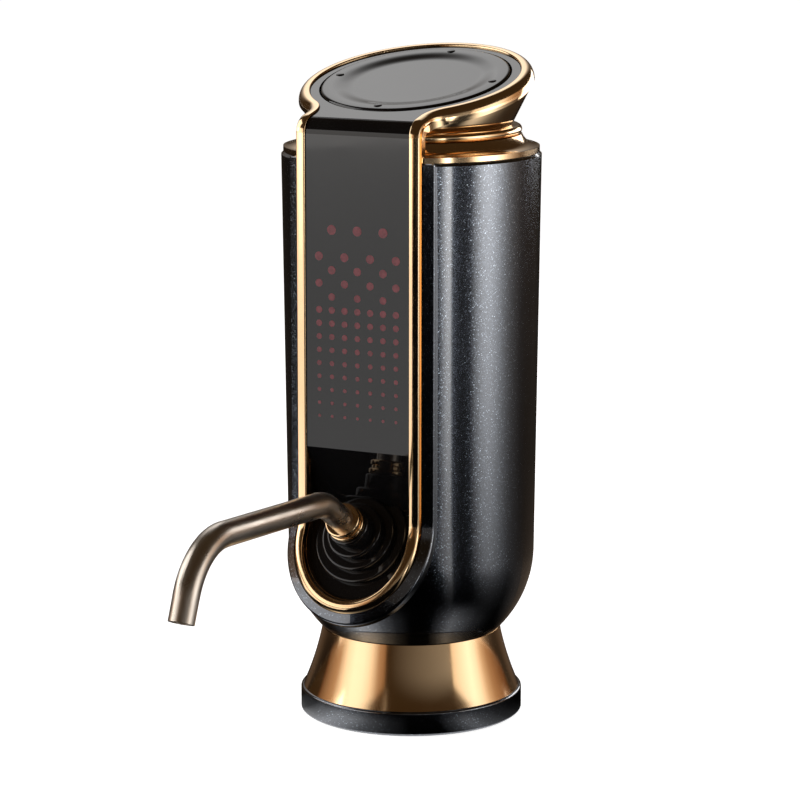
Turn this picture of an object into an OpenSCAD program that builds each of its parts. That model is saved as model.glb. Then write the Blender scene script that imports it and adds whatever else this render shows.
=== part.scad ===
// Electric wine decanter: a pump head that stands on the mouth of a bottle and pours through a bent tube.
// Units are millimetres, +Z is up, the front (panel and spout) faces -Y.
// The origin lies on the body's axis, in the plane of the base and of the bottle socket's mouth.

/* [Body] */
// Outer radius of the body at its top edge
body_r = 31.5; // [30.5:0.1:33]
// How much narrower the body is where the bowl begins
body_taper = 1.2; // [0.4:0.1:2]
// Height of the body's top edge
body_top_z = 139.2; // [138:0.2:144]
// Wall of the body shell
body_wall = 2; // [1.6:0.1:2.4]
// Height at which the straight side turns into the bowl
bowl_z = 41.3; // [40:0.1:43]
// Width of the flat seat under the body, outside the socket's tube
seat_w = 3.9; // [3.6:0.1:4.4]
// Width of the raised lip that the shell has round the gold frame
lip_w = 2.3; // [1.9:0.1:2.6]
// How far the lip stays behind the crest of the frame
lip_set = 2.4; // [2.2:0.1:2.8]

/* [Base and bottle socket] */
// Radius of the foot ring
foot_r = 27.4; // [26.5:0.1:29]
// Height of the foot ring
foot_h = 6; // [5:0.1:7]
// Chamfer on the foot ring's upper edge
foot_chamfer = 1.3; // [0.8:0.1:1.5]
// Height of the body's underside over the table
base_h = 21.2; // [20.8:0.1:22]
// Sheet thickness of the flared skirt
skirt_t = 1.2; // [0.9:0.1:1.4]
// How far the skirt's curve dips behind a straight line
skirt_dip = 0.45; // [0.2:0.05:0.8]
// Radius of the socket that takes the bottle's mouth
socket_r = 15.3; // [14.8:0.1:15.6]
// Depth of the socket up to its gasket
socket_depth = 20; // [18:0.1:20.2]
// Wall of the socket's tube
socket_wall = 2.6; // [2.2:0.1:2.7]
// Thickness of the socket's gasket
gasket_t = 2.6; // [2:0.1:3]
// Outer radius of the port that a dip tube is pushed on
port_r = 3; // [2.6:0.1:3.4]

/* [Front frame and panel] */
// How far the frame's crest lies inside the body's top radius
front_inset = 2.4; // [1.8:0.1:2.8]
// Half of the gold frame's outer width
frame_half = 16.2; // [15.6:0.1:16.6]
// Width of the gold frame's face
frame_w = 2.5; // [2.3:0.1:2.7]
// Width of the low shoulder on the frame's outer side
frame_shoulder = 0.6; // [0.4:0.1:0.8]
// How far the shoulder lies behind the frame's crest
shoulder_set = 2; // [1.6:0.1:2.2]
// Depth of the gold frame from its crest
frame_depth = 3.7; // [3.4:0.1:4]
// Height of the lowest point of the frame
frame_low_z = 32.6; // [32.2:0.1:34]
// Height at which the frame starts to lean forwards into the chin
chin_z = 51.6; // [50:0.1:53]
// Lean of the chin
chin_angle = 27; // [22:0.5:30]
// Thickness of the black panel
panel_t = 2; // [1.6:0.1:2.2]
// How far the panel lies behind the frame's crest
panel_set = 0.5; // [0.3:0.05:0.8]
// Height at which the panel starts to slope back into the niche
niche_z = 70; // [68:0.5:72]
// Slope of the panel in the niche
niche_angle = 21; // [18:0.5:24]
// Outer radius of the bend between the front and the head
bend_r = 4.5; // [4.2:0.1:5]

/* [Head and button] */
// How much smaller the head's gold rim is than the body
head_inset = 3.4; // [3:0.1:3.8]
// Height of the rim's centre
head_z = 156.4; // [155.8:0.1:158]
// How far the rim's centre lies behind the body's axis
head_y = 2; // [1.4:0.1:2.4]
// Tilt of the head
head_angle = 14.2; // [13:0.1:15]
// Radius of the fillet where the rim runs into the straight frame
rim_fillet = 7; // [6:0.5:8]
// Wall of the cup under the rim
cup_wall = 1.6; // [1.3:0.1:2]
// Width of the rim and of the panel's ring round the push button
button_margin = 5; // [4.8:0.1:5.4]
// Thickness of the button's disc
button_t = 2.5; // [2.2:0.1:2.8]
// Depth of the dish in the button
dish_depth = 0.5; // [0.4:0.05:0.8]
// Width of the button's raised border round the dish
dish_border = 6.1; // [5:0.1:7]
// Travel of the button
button_travel = 1.2; // [0.8:0.1:1.4]
// Radius of the button's stem
stem_r = 4; // [3.4:0.1:4.4]

/* [Collar] */
// How far the collar's lower edge lies inside the body's top edge
collar_inset = 0.5; // [0.3:0.1:0.9]
// Width of the collar's hollow slope
collar_slope = 4.3; // [3.8:0.1:4.8]
// Width of the step from the collar's upper ring to the neck
neck_step = 2.4; // [2:0.1:2.8]
// Height of the neck's top
neck_z = 145.5; // [145:0.1:146]

/* [Spout] */
// Angle of the spout fitting over the horizontal
fitting_angle = 32; // [29:0.5:34]
// Height of the fitting's foot
fitting_z = 48.4; // [47.8:0.1:49.4]
// How far the fitting's foot lies behind the frame's crest
fitting_inset = 2.7; // [2.3:0.1:3.1]
// Outer radius of the spout tube
tube_r = 3; // [2.8:0.1:3.2]
// Wall of the spout tube
tube_wall = 0.7; // [0.5:0.1:0.9]
// Length of the run between the tube's two bends
tube_run = 44; // [36:0.5:52]
// Rise of that run over the horizontal
tube_rise_angle = 3; // [0:0.5:6]
// Radius of the bend next to the fitting
tube_bend_root = 11; // [9:0.5:14]
// Radius of the bend at the mouth
tube_bend_tip = 16.8; // [14:0.2:20]
// Fall of the mouth under the horizontal
tube_fall_angle = 67.5; // [60:0.5:80]
// Straight length at the mouth
tube_tip = 6; // [4:0.5:12]
// Radius of the fitting's flange
flange_r = 8.9; // [8.4:0.1:9.4]

/* [Pump and motor] */
// Number of teeth on each pump gear
gear_teeth = 10; // [10:1:12]
// Module of the pump gears
gear_module = 1; // [0.9:0.05:1.05]
// Width of the pump gears
gear_w = 7.9; // [7:0.1:9]
// Radius of the pump's housing
pump_r = 12.4; // [12.2:0.1:13]
// Height of the shelf on which the pump stands
pump_z = 74; // [73:0.5:76]
// Radius of the motor
motor_r = 10.2; // [9.8:0.1:10.4]
// Length of the motor's can
motor_len = 27.4; // [26:0.2:29]
// Radius of the motor's shaft
shaft_r = 1; // [0.9:0.05:1.2]
// Inner radius of the hoses
hose_r = 2.45; // [2.3:0.05:2.6]
// Wall of the hoses
hose_wall = 1.1; // [0.8:0.1:1.3]

/* [Battery and boards] */
// Radius of the battery cell
cell_r = 9.15; // [8.8:0.05:9.3]
// Length of the battery cell
cell_len = 65; // [60:0.5:66]
// Thickness of the circuit boards
board_t = 1.2; // [1:0.1:1.6]
// Distance between the columns of lights
led_pitch_x = 3.4; // [3.2:0.05:3.5]
// Distance between the rows of lights
led_pitch_z = 3.2; // [3:0.05:3.3]
// Height of the lowest row of lights
led_low_z = 77.8; // [77:0.1:79]

/* [Fits] */
// Gap between pieces that are fitted into each other and do not move
fit = 0.1; // [0.05:0.01:0.15]
// Radial gap of a running shaft or tube
run_fit = 0.05; // [0.03:0.01:0.08]
// Gap round pieces that move past each other
move_gap = 0.35; // [0.3:0.05:0.5]

/* [Hidden] */
$fn = 64;
big = 200;
seam = 0.05;
seam_lap = 0.3;
flake = [0.05, 0.06, 0.09];
gold = [0.83, 0.62, 0.42];
gloss = [0.03, 0.03, 0.035];
dark = [0.12, 0.12, 0.13];
steel = [0.72, 0.7, 0.67];
rubber = [0.2, 0.2, 0.21];
circuit = [0.05, 0.3, 0.16];

// Outer and inner radius of the shell at a height
socket_out = socket_r + socket_wall;
seat_r = socket_out + seat_w;
bowl_r = body_r - body_taper;
bowl_arc_r = round(50 * ((bowl_r - seat_r)^2 + (bowl_z - base_h)^2) / (bowl_r - seat_r)) / 100;
bowl_x = bowl_r - bowl_arc_r;
function shell_r(z) = z >= bowl_z ? bowl_r + body_taper * (z - bowl_z) / (body_top_z - bowl_z)
    : bowl_x + sqrt(bowl_arc_r^2 - (bowl_z - z)^2);
function shell_in(z) = z >= bowl_z ? shell_r(z) - body_wall
    : bowl_x + sqrt((bowl_arc_r - body_wall)^2 - (bowl_z - z)^2);
shell_floor_t = 2.2;
shell_edge = 0.8;

// Head and collar follow the body
head_r = body_r - head_inset;
button_r = head_r - button_margin;
dish_r = button_r - dish_border;
collar_r = body_r - collar_inset;
collar_ring_r = collar_r - collar_slope;
neck_r = collar_ring_r - neck_step;

// Front: crest of the frame, head plane and the bend between them
front_y = body_r - front_inset;
head_n = [-sin(head_angle), cos(head_angle)];
head_v = [cos(head_angle), sin(head_angle)];
bend_y = bend_r - front_y;
bend_z = head_z + (-bend_r + (bend_y - head_y) * sin(head_angle)) / cos(head_angle);
bend_start = (bend_y + bend_r * head_n[0] - head_y) / head_v[0];
fillet_x = frame_half + rim_fillet;
fillet_y = -sqrt((head_r + rim_fillet)^2 - fillet_x^2);
frame_in = frame_half - frame_w;
panel_half = frame_in - fit;
panel_back = panel_set + panel_t;
ledge_w = 1.3;
crest_inset = 0.45;
crest_drop = 0.2;
crest_set = (frame_w - frame_shoulder) / 2;
ledge_half = frame_in - ledge_w;
niche_depth = 10;
niche_back = front_y - niche_depth;
niche_run = 20;
chin_reach = 60;
lip_half = frame_half + lip_w;
lip_low = 1.5;
slot_half = frame_half + fit;

// Spout fitting's frame
fit_y = fitting_inset - front_y;
floor_t = 2.6;
floor_h = -0.25;
floor_step = 0.35;
floor_step_r = 11.8;
flange_h = 2.3;
neck_step_r = 6.6;
neck_step_h = 4.6;
stub_r = 5;
stub_h = 9;
spigot_r = 5;
spigot_end = -6;
elbow_r = 6.4;
elbow_end = 3.6;
nut_len = 3.4;
nut_r = 4.6;
tube_start = 1.5;
tube_lead = 20.2;
bend_swell = 0.03;
bend_over_angle = 1;
ring_wire = 0.6;
ring_h = 4;

// Base stack
gasket_in = 8;
gasket_lip = 0.5;
gasket_top = socket_depth + gasket_t;
floor_top = base_h + shell_floor_t;
socket_flange_t = 2;
roof_z = floor_top + socket_flange_t;
roof_t = 2;
roof_top = roof_z + roof_t;
flange_gap = 0.35;
socket_flange_r = shell_in(floor_top) - flange_gap;
port_low_z = gasket_top - 1.1;
port_neck_r = port_r + 0.4;
port_flange_r = 5;
port_flange_t = 1.4;
barb_r = hose_r - fit;
barb_bore = 1.5;
barb_len = 5;
vent_x = 7.4;
vent_r = 1;
vent_cap_r = 1.9;
base_screw_r = 0.8;
base_screw_head = 1.1;
screw_rim = 0.9;
screw_head_t = 1.3;
screw_grip = 5;
base_screw_x = socket_out + 2 * fit + base_screw_head;
base_screw_angles = [0, 120, 240];

// Chassis
pump_y = -8.5;
outlet_y = pump_y - 7;
plate_t = 2.6;
plate_z = roof_top;
plate_top = plate_z + plate_t;
plate_r = shell_in(plate_z) - 0.5;
plate_hole = 10;
post_w = 5;
post_gap = 0.9;
post_d = 6;
post_y = 12;
post_x = sqrt((shell_in(plate_top) - post_gap)^2 - (post_y + post_d / 2)^2) - post_w / 2;
post_front_y = -6;
bulk_z = body_top_z - 7.2;
bulk_t = 2.5;
bulk_top = bulk_z + bulk_t;
bulk_r = shell_in(bulk_z) - 0.6;
bulk_hole = 15;
bulk_front = front_y - frame_depth - board_t - 0.5;
cell_shelf_z = plate_top + 5;
cell_shelf_t = 2.5;
cell_z = cell_shelf_z + cell_shelf_t;
cell_nub_r = 3;
cell_nub_h = 1;
holder_wall = 1;
holder_gap = 0.6;
cell_y = shell_in(cell_z) - holder_gap - holder_wall - fit - cell_r;
holder_len = 32;
shelf_t = 3;
shelf_gap = 0.6;
shelf_y = pump_y - pump_r;
usb_shelf_z = cell_z + cell_len + 5.5;
usb_shelf_t = 2.5;
usb_shelf_y = shell_in(usb_shelf_z) - 2.4;

// Pump and motor, with the suction side straight over the bottle
gear_pitch_r = gear_module * gear_teeth / 2;
gear_backlash = 0.1;
gear_x = gear_pitch_r + gear_backlash / 2;
gear_tip_r = gear_pitch_r + 0.8 * gear_module;
gear_root_r = gear_pitch_r - 1.1 * gear_module;
gear_base_r = gear_pitch_r * cos(20);
gear_end_gap = 0.15;
chamber_r = gear_tip_r + 0.2;
pocket_half = 2.2;
cover_t = 3;
seat_t = 0.6;
seat_z = pump_z + cover_t;
chamber_z = seat_z + seat_t;
gear_z = chamber_z + gear_end_gap;
chamber_h = gear_w + 2 * gear_end_gap;
pump_top_t = 4.8;
motor_z = chamber_z + chamber_h + pump_top_t;
motor_top = motor_z + motor_len;
pin_r = 1.5;
seal_r = 3;
seal_t = 2.6;
pump_screw_r = 1;
pump_grip = 7;
pump_screw_x = (pump_r - 1.5) / sqrt(2);
can_wall = 0.6;
cap_t = 3;
motor_tab_x = 6.5;
motor_tab_h = 2;
tab_t = 0.6;
tab_w = 2;
shaft_top = motor_top + cap_t - 0.8;
magnet_t = 1.5;
magnet_gap = 0.4;
magnet_slot = 5;
pole_slot = 1.2;
pole_root_r = 4;
commutator_r = 2.2;
magnet_inset = 4;
magnet_z = motor_z + magnet_inset;
magnet_len = motor_len - 2 * magnet_inset;
armature_r = motor_r - can_wall - fit - magnet_t - magnet_gap;

// Head, measured along the tilted normal from the rim's crest
button_hole = button_r + move_gap;
button_top = -0.1;
button_bottom = button_top - button_t;
dish_slope = 3;
bump_r = 1;
bump_h = 0.45;
bump_x = button_r - 2.6;
spring_len = 5.4;
spring_wire = 0.6;
spring_turns = 4;
spring_mean_r = stem_r + 1.1;
guide_top = button_bottom - spring_len;
guide_t = 1.6;
guide_r = 15;
guide_tube_len = 3.4;
guide_tube_w = 1.6;
stem_len = spring_len + guide_t + 1.4;
switch_w = 6;
switch_h = 3.5;
switch_gap = 0.3;
plunger_r = 1.6;
plunger_h = 1.3;
switch_top = button_bottom - stem_len - button_travel - switch_gap;
button_board_top = switch_top - plunger_h - switch_h;
guide_rib_x = 7.2;
guide_rib_w = 2.4;
guide_rib_d = 8;
button_board_d = 14;
guide_foot_t = 1;
guide_leg_r = 2;
guide_leg_x = 12;
guide_leg_front = -5;
guide_leg_back = 7;
guide_foot_w = 6;
cup_ledge_in = button_hole + 0.5;
cup_ledge_t = 1.6;
cup_edge = 0.2;

// Boards
board_x = post_x + 0.5;
board_front_y = -14;
board_low_z = motor_z + 4;
board_top_gap = 1.5;
board_top_z = bulk_z - board_top_gap;
board_d = post_y - post_d / 2 - board_front_y;
board_h = board_top_z - board_low_z;
chip_w = 7;
chip_t = 1.4;
driver_w = 5;
driver_t = 1;
coil_w = 6;
coil_t = 2.2;
capacitor_w = 4;
capacitor_t = 1.2;
led_cols = 7;
led_rows = 15;
led_w = 1.6;
led_t = 0.8;
led_y = frame_depth - front_y;
led_board_half = ledge_half + 0.7;
led_board_low = led_low_z - 2.8;
led_board_top = led_low_z + (led_rows - 1) * led_pitch_z + 5;
usb_w = 9;
usb_h = 3.2;
usb_len = 7;
usb_wall = 0.3;
usb_tongue_w = 6;
usb_tongue_t = 0.7;
usb_board_w = 16;
usb_board_d = 8;
usb_z = usb_shelf_z + usb_shelf_t + board_t;
lead_r = 0.6;

// Frames of the head and of the spout fitting
module head_frame() translate([0, head_y, head_z]) rotate([head_angle, 0, 0]) children();
module fitting_frame() translate([0, fit_y, fitting_z]) rotate([90 - fitting_angle, 0, 0]) children();

// A profile drawn in Y and Z, extruded along X about the middle plane
module along_x(width) rotate([90, 0, 90]) linear_extrude(width, center = true) children();

// A profile drawn in X and Z, extruded along Y between two places
module along_y(from, to) translate([0, to, 0]) rotate([90, 0, 0]) linear_extrude(to - from) children();

module ring(r_out, r_in, h) difference() {
    cylinder(r = r_out, h = h);
    translate([0, 0, -1]) cylinder(r = r_in, h = h + 2);
}

module both_sides() {
    children();
    mirror([1, 0, 0]) children();
}

// Everything behind the front surface by a set depth, from the bend down past the chin
module behind_front(depth) {
    corner_z = chin_z - depth * tan(chin_angle / 2);
    polygon([[depth - front_y, bend_z], [depth - front_y, corner_z],
        [depth - front_y - chin_reach * sin(chin_angle), corner_z - chin_reach * cos(chin_angle)],
        [big, corner_z - chin_reach * cos(chin_angle)], [big, bend_z]]);
    if (bend_r > depth) intersection() {
        translate([bend_y, bend_z]) circle(bend_r - depth - seam);
        polygon([[bend_y, bend_z], [bend_y - 3 * bend_r, bend_z],
            [bend_y + 3 * bend_r * (head_n[0] - 1), bend_z + 3 * bend_r * head_n[1]],
            [bend_y + 3 * bend_r * head_n[0], bend_z + 3 * bend_r * head_n[1]]]);
    }
}

// U outline in X and Z, round at the bottom and open to a height
module u_outline(half, low, top) {
    translate([0, low + half]) circle(half);
    translate([-half, low + half]) square([2 * half, top - low - half]);
}

// Rim and straight frame in one outline on the head's plane, drawn in by an inset
module keyhole(inset) {
    circle(head_r - inset);
    half = frame_half - inset - seam / 2;
    translate([-half, bend_start - seam_lap]) square([2 * half, seam_lap - bend_start]);
    both_sides() difference() {
        polygon([[0, 0], [0, fillet_y], [fillet_x, fillet_y]]);
        translate([fillet_x, fillet_y]) circle(rim_fillet + inset - seam);
    }
}

// Base

foot_edge = 0.4;
module foot_ring() color(flake) rotate_extrude() polygon([[socket_out + fit, 0], [foot_r - foot_edge, 0],
    [foot_r, foot_edge], [foot_r, foot_h - foot_chamfer], [foot_r - foot_chamfer, foot_h],
    [socket_out + fit, foot_h]]);

// Concave flare between the foot ring and the body
skirt_low_r = foot_r - foot_chamfer - 0.5;
skirt_top_r = shell_r(base_h) + 0.2;
skirt_chord = sqrt((skirt_low_r - skirt_top_r)^2 + (base_h - foot_h)^2);
skirt_arc_r = skirt_chord^2 / (8 * skirt_dip) + skirt_dip / 2;
skirt_dir = [(base_h - foot_h) / skirt_chord, (skirt_low_r - skirt_top_r) / skirt_chord];
skirt_mid = [(skirt_low_r + skirt_top_r) / 2, (base_h + foot_h) / 2];
skirt_centre = skirt_mid + (skirt_arc_r - skirt_dip) * skirt_dir;
module base_skirt() color(gold) rotate_extrude() intersection() {
    difference() {
        translate(skirt_centre) circle(skirt_arc_r + skirt_t, $fn = 200);
        translate(skirt_centre) circle(skirt_arc_r, $fn = 200);
    }
    translate([0, foot_h]) square([foot_r, base_h - foot_h]);
}

module bottle_socket() color(dark) difference() {
    union() {
        cylinder(r = socket_out, h = floor_top);
        translate([0, 0, floor_top]) cylinder(r = socket_flange_r, h = roof_top - floor_top);
    }
    translate([0, 0, -1]) cylinder(r = socket_r, h = socket_depth + 1);
    translate([0, 0, socket_depth]) cylinder(r = socket_r + gasket_lip, h = gasket_t);
    cylinder(r = gasket_in + 1, h = roof_z);
    cylinder(r = port_neck_r + fit, h = roof_top + 1);
    translate([vent_x, 0, 0]) cylinder(r = vent_r, h = roof_top + 1);
    at_base_screws() cylinder(r = base_screw_r + fit, h = roof_top + 1);
}

module bottle_gasket() color(rubber) translate([0, 0, socket_depth + fit / 2])
    ring(socket_r + gasket_lip - fit, gasket_in, gasket_t - fit);

// Port for the dip tube below, barb for the suction hose above
module suction_port() color(steel) difference() {
    union() {
        translate([0, 0, port_low_z]) cylinder(r = port_r, h = roof_z - port_low_z + 1);
        translate([0, 0, roof_z]) cylinder(r = port_neck_r, h = roof_t + 1);
        translate([0, 0, roof_top]) cylinder(r = port_flange_r, h = port_flange_t);
        translate([0, 0, roof_top]) cylinder(r = barb_r, h = port_flange_t + barb_len);
    }
    translate([0, 0, port_low_z - 1]) cylinder(r = barb_bore, h = big);
}

// Rubber mushroom that lets air into the bottle
module vent_valve() color(rubber) translate([vent_x, 0, 0]) {
    translate([0, 0, roof_z]) cylinder(r = vent_r - fit, h = roof_t + 0.2);
    translate([0, 0, roof_top]) cylinder(r = vent_cap_r, h = 1);
}

module at_base_screws() for (a = base_screw_angles) rotate([0, 0, a])
    translate([base_screw_x, 0, 0]) children();

module base_screws() color(steel) at_base_screws() {
    translate([0, 0, base_h - screw_head_t]) cylinder(r = base_screw_head, h = screw_head_t);
    translate([0, 0, base_h - 0.2]) cylinder(r = base_screw_r, h = plate_top - base_h);
}

// Body

module shell_outer() {
    polygon([[0, bowl_z], [bowl_r, bowl_z], [body_r, body_top_z - shell_edge],
        [body_r - shell_edge, body_top_z], [0, body_top_z]]);
    intersection() {
        translate([bowl_x, bowl_z]) circle(bowl_arc_r, $fn = 128);
        translate([0, base_h]) square([big, bowl_z - base_h]);
    }
}

module shell_inner() {
    polygon([[0, bowl_z], [bowl_r - body_wall, bowl_z], [body_r - body_wall, body_top_z + 1],
        [0, body_top_z + 1]]);
    intersection() {
        translate([bowl_x, bowl_z]) circle(bowl_arc_r - body_wall, $fn = 128);
        translate([0, floor_top]) square([big, bowl_z - floor_top]);
    }
}

// Revolved shell with a raised lip round the front slot, which juts out into a chin below
module body_shell() color(flake) difference() {
    union() {
        rotate_extrude($fn = 128) shell_outer();
        intersection() {
            along_y(-big, -niche_back) u_outline(lip_half, frame_low_z - lip_low, body_top_z);
            along_x(3 * lip_half) behind_front(lip_set);
        }
    }
    rotate_extrude($fn = 128) shell_inner();
    along_y(-big, -niche_back + 1) u_outline(slot_half, frame_low_z - fit, body_top_z + 1);
    cylinder(r = socket_out + fit, h = floor_top + 1);
    at_base_screws() translate([0, 0, base_h - 1])
        cylinder(r = base_screw_r + fit, h = shell_floor_t + 2);
    translate([0, 0, usb_z + usb_h / 2]) rotate([-90, 0, 0]) usb_outline(fit, big);
}

module usb_outline(grow, len) {
    side = usb_w / 2 - usb_h / 2;
    linear_extrude(len) {
        square([2 * side, usb_h + 2 * grow], center = true);
        both_sides() translate([side, 0]) circle(usb_h / 2 + grow);
    }
}

// Chassis

module at_posts(y) both_sides() translate([post_x - post_w / 2, y - post_d / 2, 0]) children();

module inside_shell(z, h, gap) intersection() {
    translate([0, 0, z]) cylinder(r = min(shell_in(z), shell_in(z + h)) - gap, h = h);
    children();
}

module post(top) translate([0, 0, plate_top - 1]) cube([post_w, post_d, top - plate_top + 1]);

// A shelf between the posts, trimmed to the inside of the shell
module shelf(z, t, from, to) inside_shell(z, t, shelf_gap) translate([-post_x, from, z])
    cube([2 * post_x, to - from, t]);

module inner_chassis() color(dark) difference() {
    union() {
        translate([0, 0, plate_z]) cylinder(r = plate_r, h = plate_t);
        at_posts(post_y) post(bulk_z);
        at_posts(post_front_y) post(pump_z);
        shelf(cell_shelf_z, cell_shelf_t, post_y - post_d / 2, big);
        shelf(pump_z - shelf_t, shelf_t, shelf_y, post_y);
        shelf(usb_shelf_z, usb_shelf_t, post_y - post_d / 2, usb_shelf_y);
    }
    translate([0, 0, plate_z - 1]) cylinder(r = plate_hole, h = plate_t + 2);
    translate([0, cell_y, pump_z - shelf_t - 1]) cylinder(r = cell_r + move_gap, h = shelf_t + 2);
    pump_ports() translate([0, 0, pump_z - shelf_t - 1])
        cylinder(r = hose_r + hose_wall + move_gap, h = shelf_t + 2);
    at_base_screws() translate([0, 0, plate_z - 1]) cylinder(r = base_screw_r + fit, h = plate_t + 2);
    at_pump_screws() translate([0, 0, pump_z - shelf_t - 1])
        cylinder(r = pump_screw_r + fit, h = shelf_t + 2);
    at_chassis_screws() translate([0, 0, bulk_z - screw_grip - 1])
        cylinder(r = base_screw_r + fit, h = screw_grip + 2);
}

module at_chassis_screws() both_sides() translate([post_x, post_y, 0]) children();

module chassis_screws() color(steel) at_chassis_screws() {
    translate([0, 0, bulk_top]) cylinder(r = base_screw_r + screw_rim, h = screw_head_t);
    translate([0, 0, bulk_z - screw_grip]) cylinder(r = base_screw_r, h = bulk_t + screw_grip + fit);
}

module at_head_screws() for (a = [20, 90, 160]) rotate([0, 0, a])
    translate([sleeve_in + sleeve_t / 2, 0, 0]) children();

module top_bulkhead() color(dark) difference() {
    translate([0, 0, bulk_z]) cylinder(r = bulk_r, h = bulk_t);
    translate([0, 0, bulk_z - 1]) cylinder(r = bulk_hole, h = bulk_t + 2);
    translate([-big / 2, -big - bulk_front, bulk_z - 1]) cube([big, big, bulk_t + 2]);
    at_chassis_screws() translate([0, 0, bulk_z - 1]) cylinder(r = base_screw_r + fit, h = bulk_t + 2);
    at_head_screws() translate([0, 0, bulk_z - 1]) cylinder(r = head_screw_r + fit, h = bulk_t + 2);
}

head_screw_r = 0.75;
sleeve_t = 2.4;
sleeve_gap = 0.4;
sleeve_in = shell_in(body_top_z) - sleeve_gap - sleeve_t;
sleeve_root = 0.5;
collar_wall = 1.8;
collar_bore = neck_r - collar_wall;
collar_band = 1.2;
collar_ring_h = 2.2;
collar_step_z = neck_z - collar_ring_h;

module head_screws() color(steel) at_head_screws() {
    translate([0, 0, bulk_z - screw_head_t]) cylinder(r = head_screw_r + screw_rim / 2, h = screw_head_t);
    translate([0, 0, bulk_z - fit]) cylinder(r = head_screw_r, h = body_top_z - bulk_z - screw_head_t);
}

// Head

// Stepped collar: a band on the body's edge, a hollow slope, a rounded ring and the neck
module collar_profile() {
    slope_r = collar_r - collar_ring_r;
    slope_h = collar_step_z - body_top_z - collar_band;
    slope_arc = (slope_r^2 + slope_h^2) / (2 * slope_h);
    difference() {
        translate([collar_bore, body_top_z]) square([collar_r - collar_bore, collar_step_z - body_top_z]);
        intersection() {
            translate([collar_r, collar_step_z - slope_h + slope_arc]) circle(slope_arc);
            translate([collar_ring_r, body_top_z + collar_band]) square([big, big]);
        }
    }
    round_r = collar_ring_h / 2;
    translate([collar_bore, collar_step_z]) square([collar_ring_r - round_r - collar_bore, collar_ring_h]);
    translate([collar_ring_r - round_r, collar_step_z + round_r]) circle(round_r);
    translate([sleeve_in, bulk_top]) square([sleeve_t, body_top_z - bulk_top + sleeve_root]);
}

module top_collar() color(gold) difference() {
    rotate_extrude($fn = 128) collar_profile();
    translate([-slot_half - fit, -big - front_y + frame_depth + 2 * fit, 0])
        cube([2 * slot_half + 2 * fit, big, big]);
    at_head_screws() translate([0, 0, bulk_top - 1])
        cylinder(r = head_screw_r + fit, h = body_top_z - bulk_top + sleeve_root);
}

// Leaning cup between the round neck and the tilted rim
module cup_form(shrink, reach) hull() {
    head_frame() translate([0, 0, -frame_depth - cup_edge])
        cylinder(r = head_r - cup_edge - shrink, h = cup_edge + reach, $fn = 96);
    translate([0, 0, neck_z - reach]) cylinder(r = neck_r - shrink, h = cup_edge + reach, $fn = 96);
}

module head_cup() color(gold) {
    difference() {
        cup_form(0, 0);
        cup_form(cup_wall, 0.4);
    }
    difference() {
        head_frame() translate([0, 0, -frame_depth - cup_ledge_t]) difference() {
            union() {
                cylinder(r = head_r - cup_wall, h = cup_ledge_t);
                cylinder(r = head_r - frame_w - fit, h = frame_depth + cup_ledge_t - panel_back);
            }
            translate([0, 0, -1]) cylinder(r = cup_ledge_in, h = 2 * frame_depth);
        }
        translate([0, 0, neck_z - big]) cylinder(r = big, h = big);
    }
}

// A closed run of the frame, drawn in on the two sides of its face and set behind the crest
module frame_run(outside, inside, depth) {
    head_frame() translate([0, 0, -frame_depth]) linear_extrude(frame_depth - depth) difference() {
        keyhole(outside);
        keyhole(frame_w - inside);
    }
    intersection() {
        along_y(-big, big) difference() {
            u_outline(frame_half - outside, frame_low_z + outside, big);
            u_outline(frame_in + inside, frame_low_z + frame_w - inside, big + 1);
        }
        along_x(3 * frame_half) difference() {
            behind_front(depth);
            intersection() {
                behind_front(frame_depth);
                translate([-big, niche_z]) square([2 * big, big]);
            }
            translate([-niche_back, -big]) square([2 * big, big + niche_z]);
        }
    }
}

// One gold trim: rim of the head, rails down the front and a U round the niche, with a shoulder and a crest
module gold_frame() color(gold) {
    frame_run(0, 0, shoulder_set);
    frame_run(frame_shoulder, seam, crest_set);
    frame_run(frame_shoulder + crest_inset, crest_inset, crest_drop);
    both_sides() translate([ledge_half, panel_back - front_y, niche_z])
        cube([ledge_w + 0.1, frame_depth - panel_back, bend_z - niche_z - 1]);
}

// Front and niche

// Black panel: ring round the button, bend, front and the slope back into the niche
module face_panel() color(gloss) difference() {
    panel_form();
    fitting_frame() translate([0, 0, floor_h - 1]) cylinder(r = flange_r + move_gap, h = flange_h + 2);
}

module panel_form() {
    head_frame() translate([0, 0, -panel_back]) linear_extrude(panel_t) difference() {
        keyhole(frame_w + fit);
        circle(button_hole);
    }
    along_x(2 * panel_half) difference() {
        union() {
            intersection() {
                difference() {
                    behind_front(panel_set);
                    behind_front(panel_back);
                }
                translate([-big, niche_z]) square([2 * big, big]);
            }
            translate([panel_set - front_y, niche_z]) rotate(niche_angle) translate([0, -2 * panel_half])
                square([panel_t, 2 * panel_half]);
        }
        below_floor(0);
    }
}

// Everything under the niche floor's upper face, drawn in Y and Z
module below_floor(depth) translate([fit_y, fitting_z]) rotate(90 - fitting_angle)
    translate([-big, floor_h - depth - big]) square([2 * big, big]);

// Sloping floor of the niche with a low round step for the fitting
module niche_floor() color(gloss) difference() {
    union() {
        intersection() {
            along_y(-big, -niche_back) u_outline(panel_half, frame_low_z + frame_w + fit, niche_z);
            along_x(3 * frame_half) difference() {
                below_floor(0);
                below_floor(floor_t);
            }
        }
        fitting_frame() translate([0, 0, floor_h - 0.2]) cylinder(r = floor_step_r, h = floor_step + 0.2);
    }
    fitting_frame() translate([0, 0, floor_h - floor_t - 1]) cylinder(r = spigot_r + fit, h = floor_t + 3);
    along_x(3 * frame_half) translate([panel_set - front_y, niche_z]) rotate(niche_angle)
        translate([-fit, -2 * panel_half - niche_run]) square([big, 2 * panel_half + niche_run]);
}

// Spout

flange_z = floor_h + floor_step;

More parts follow.
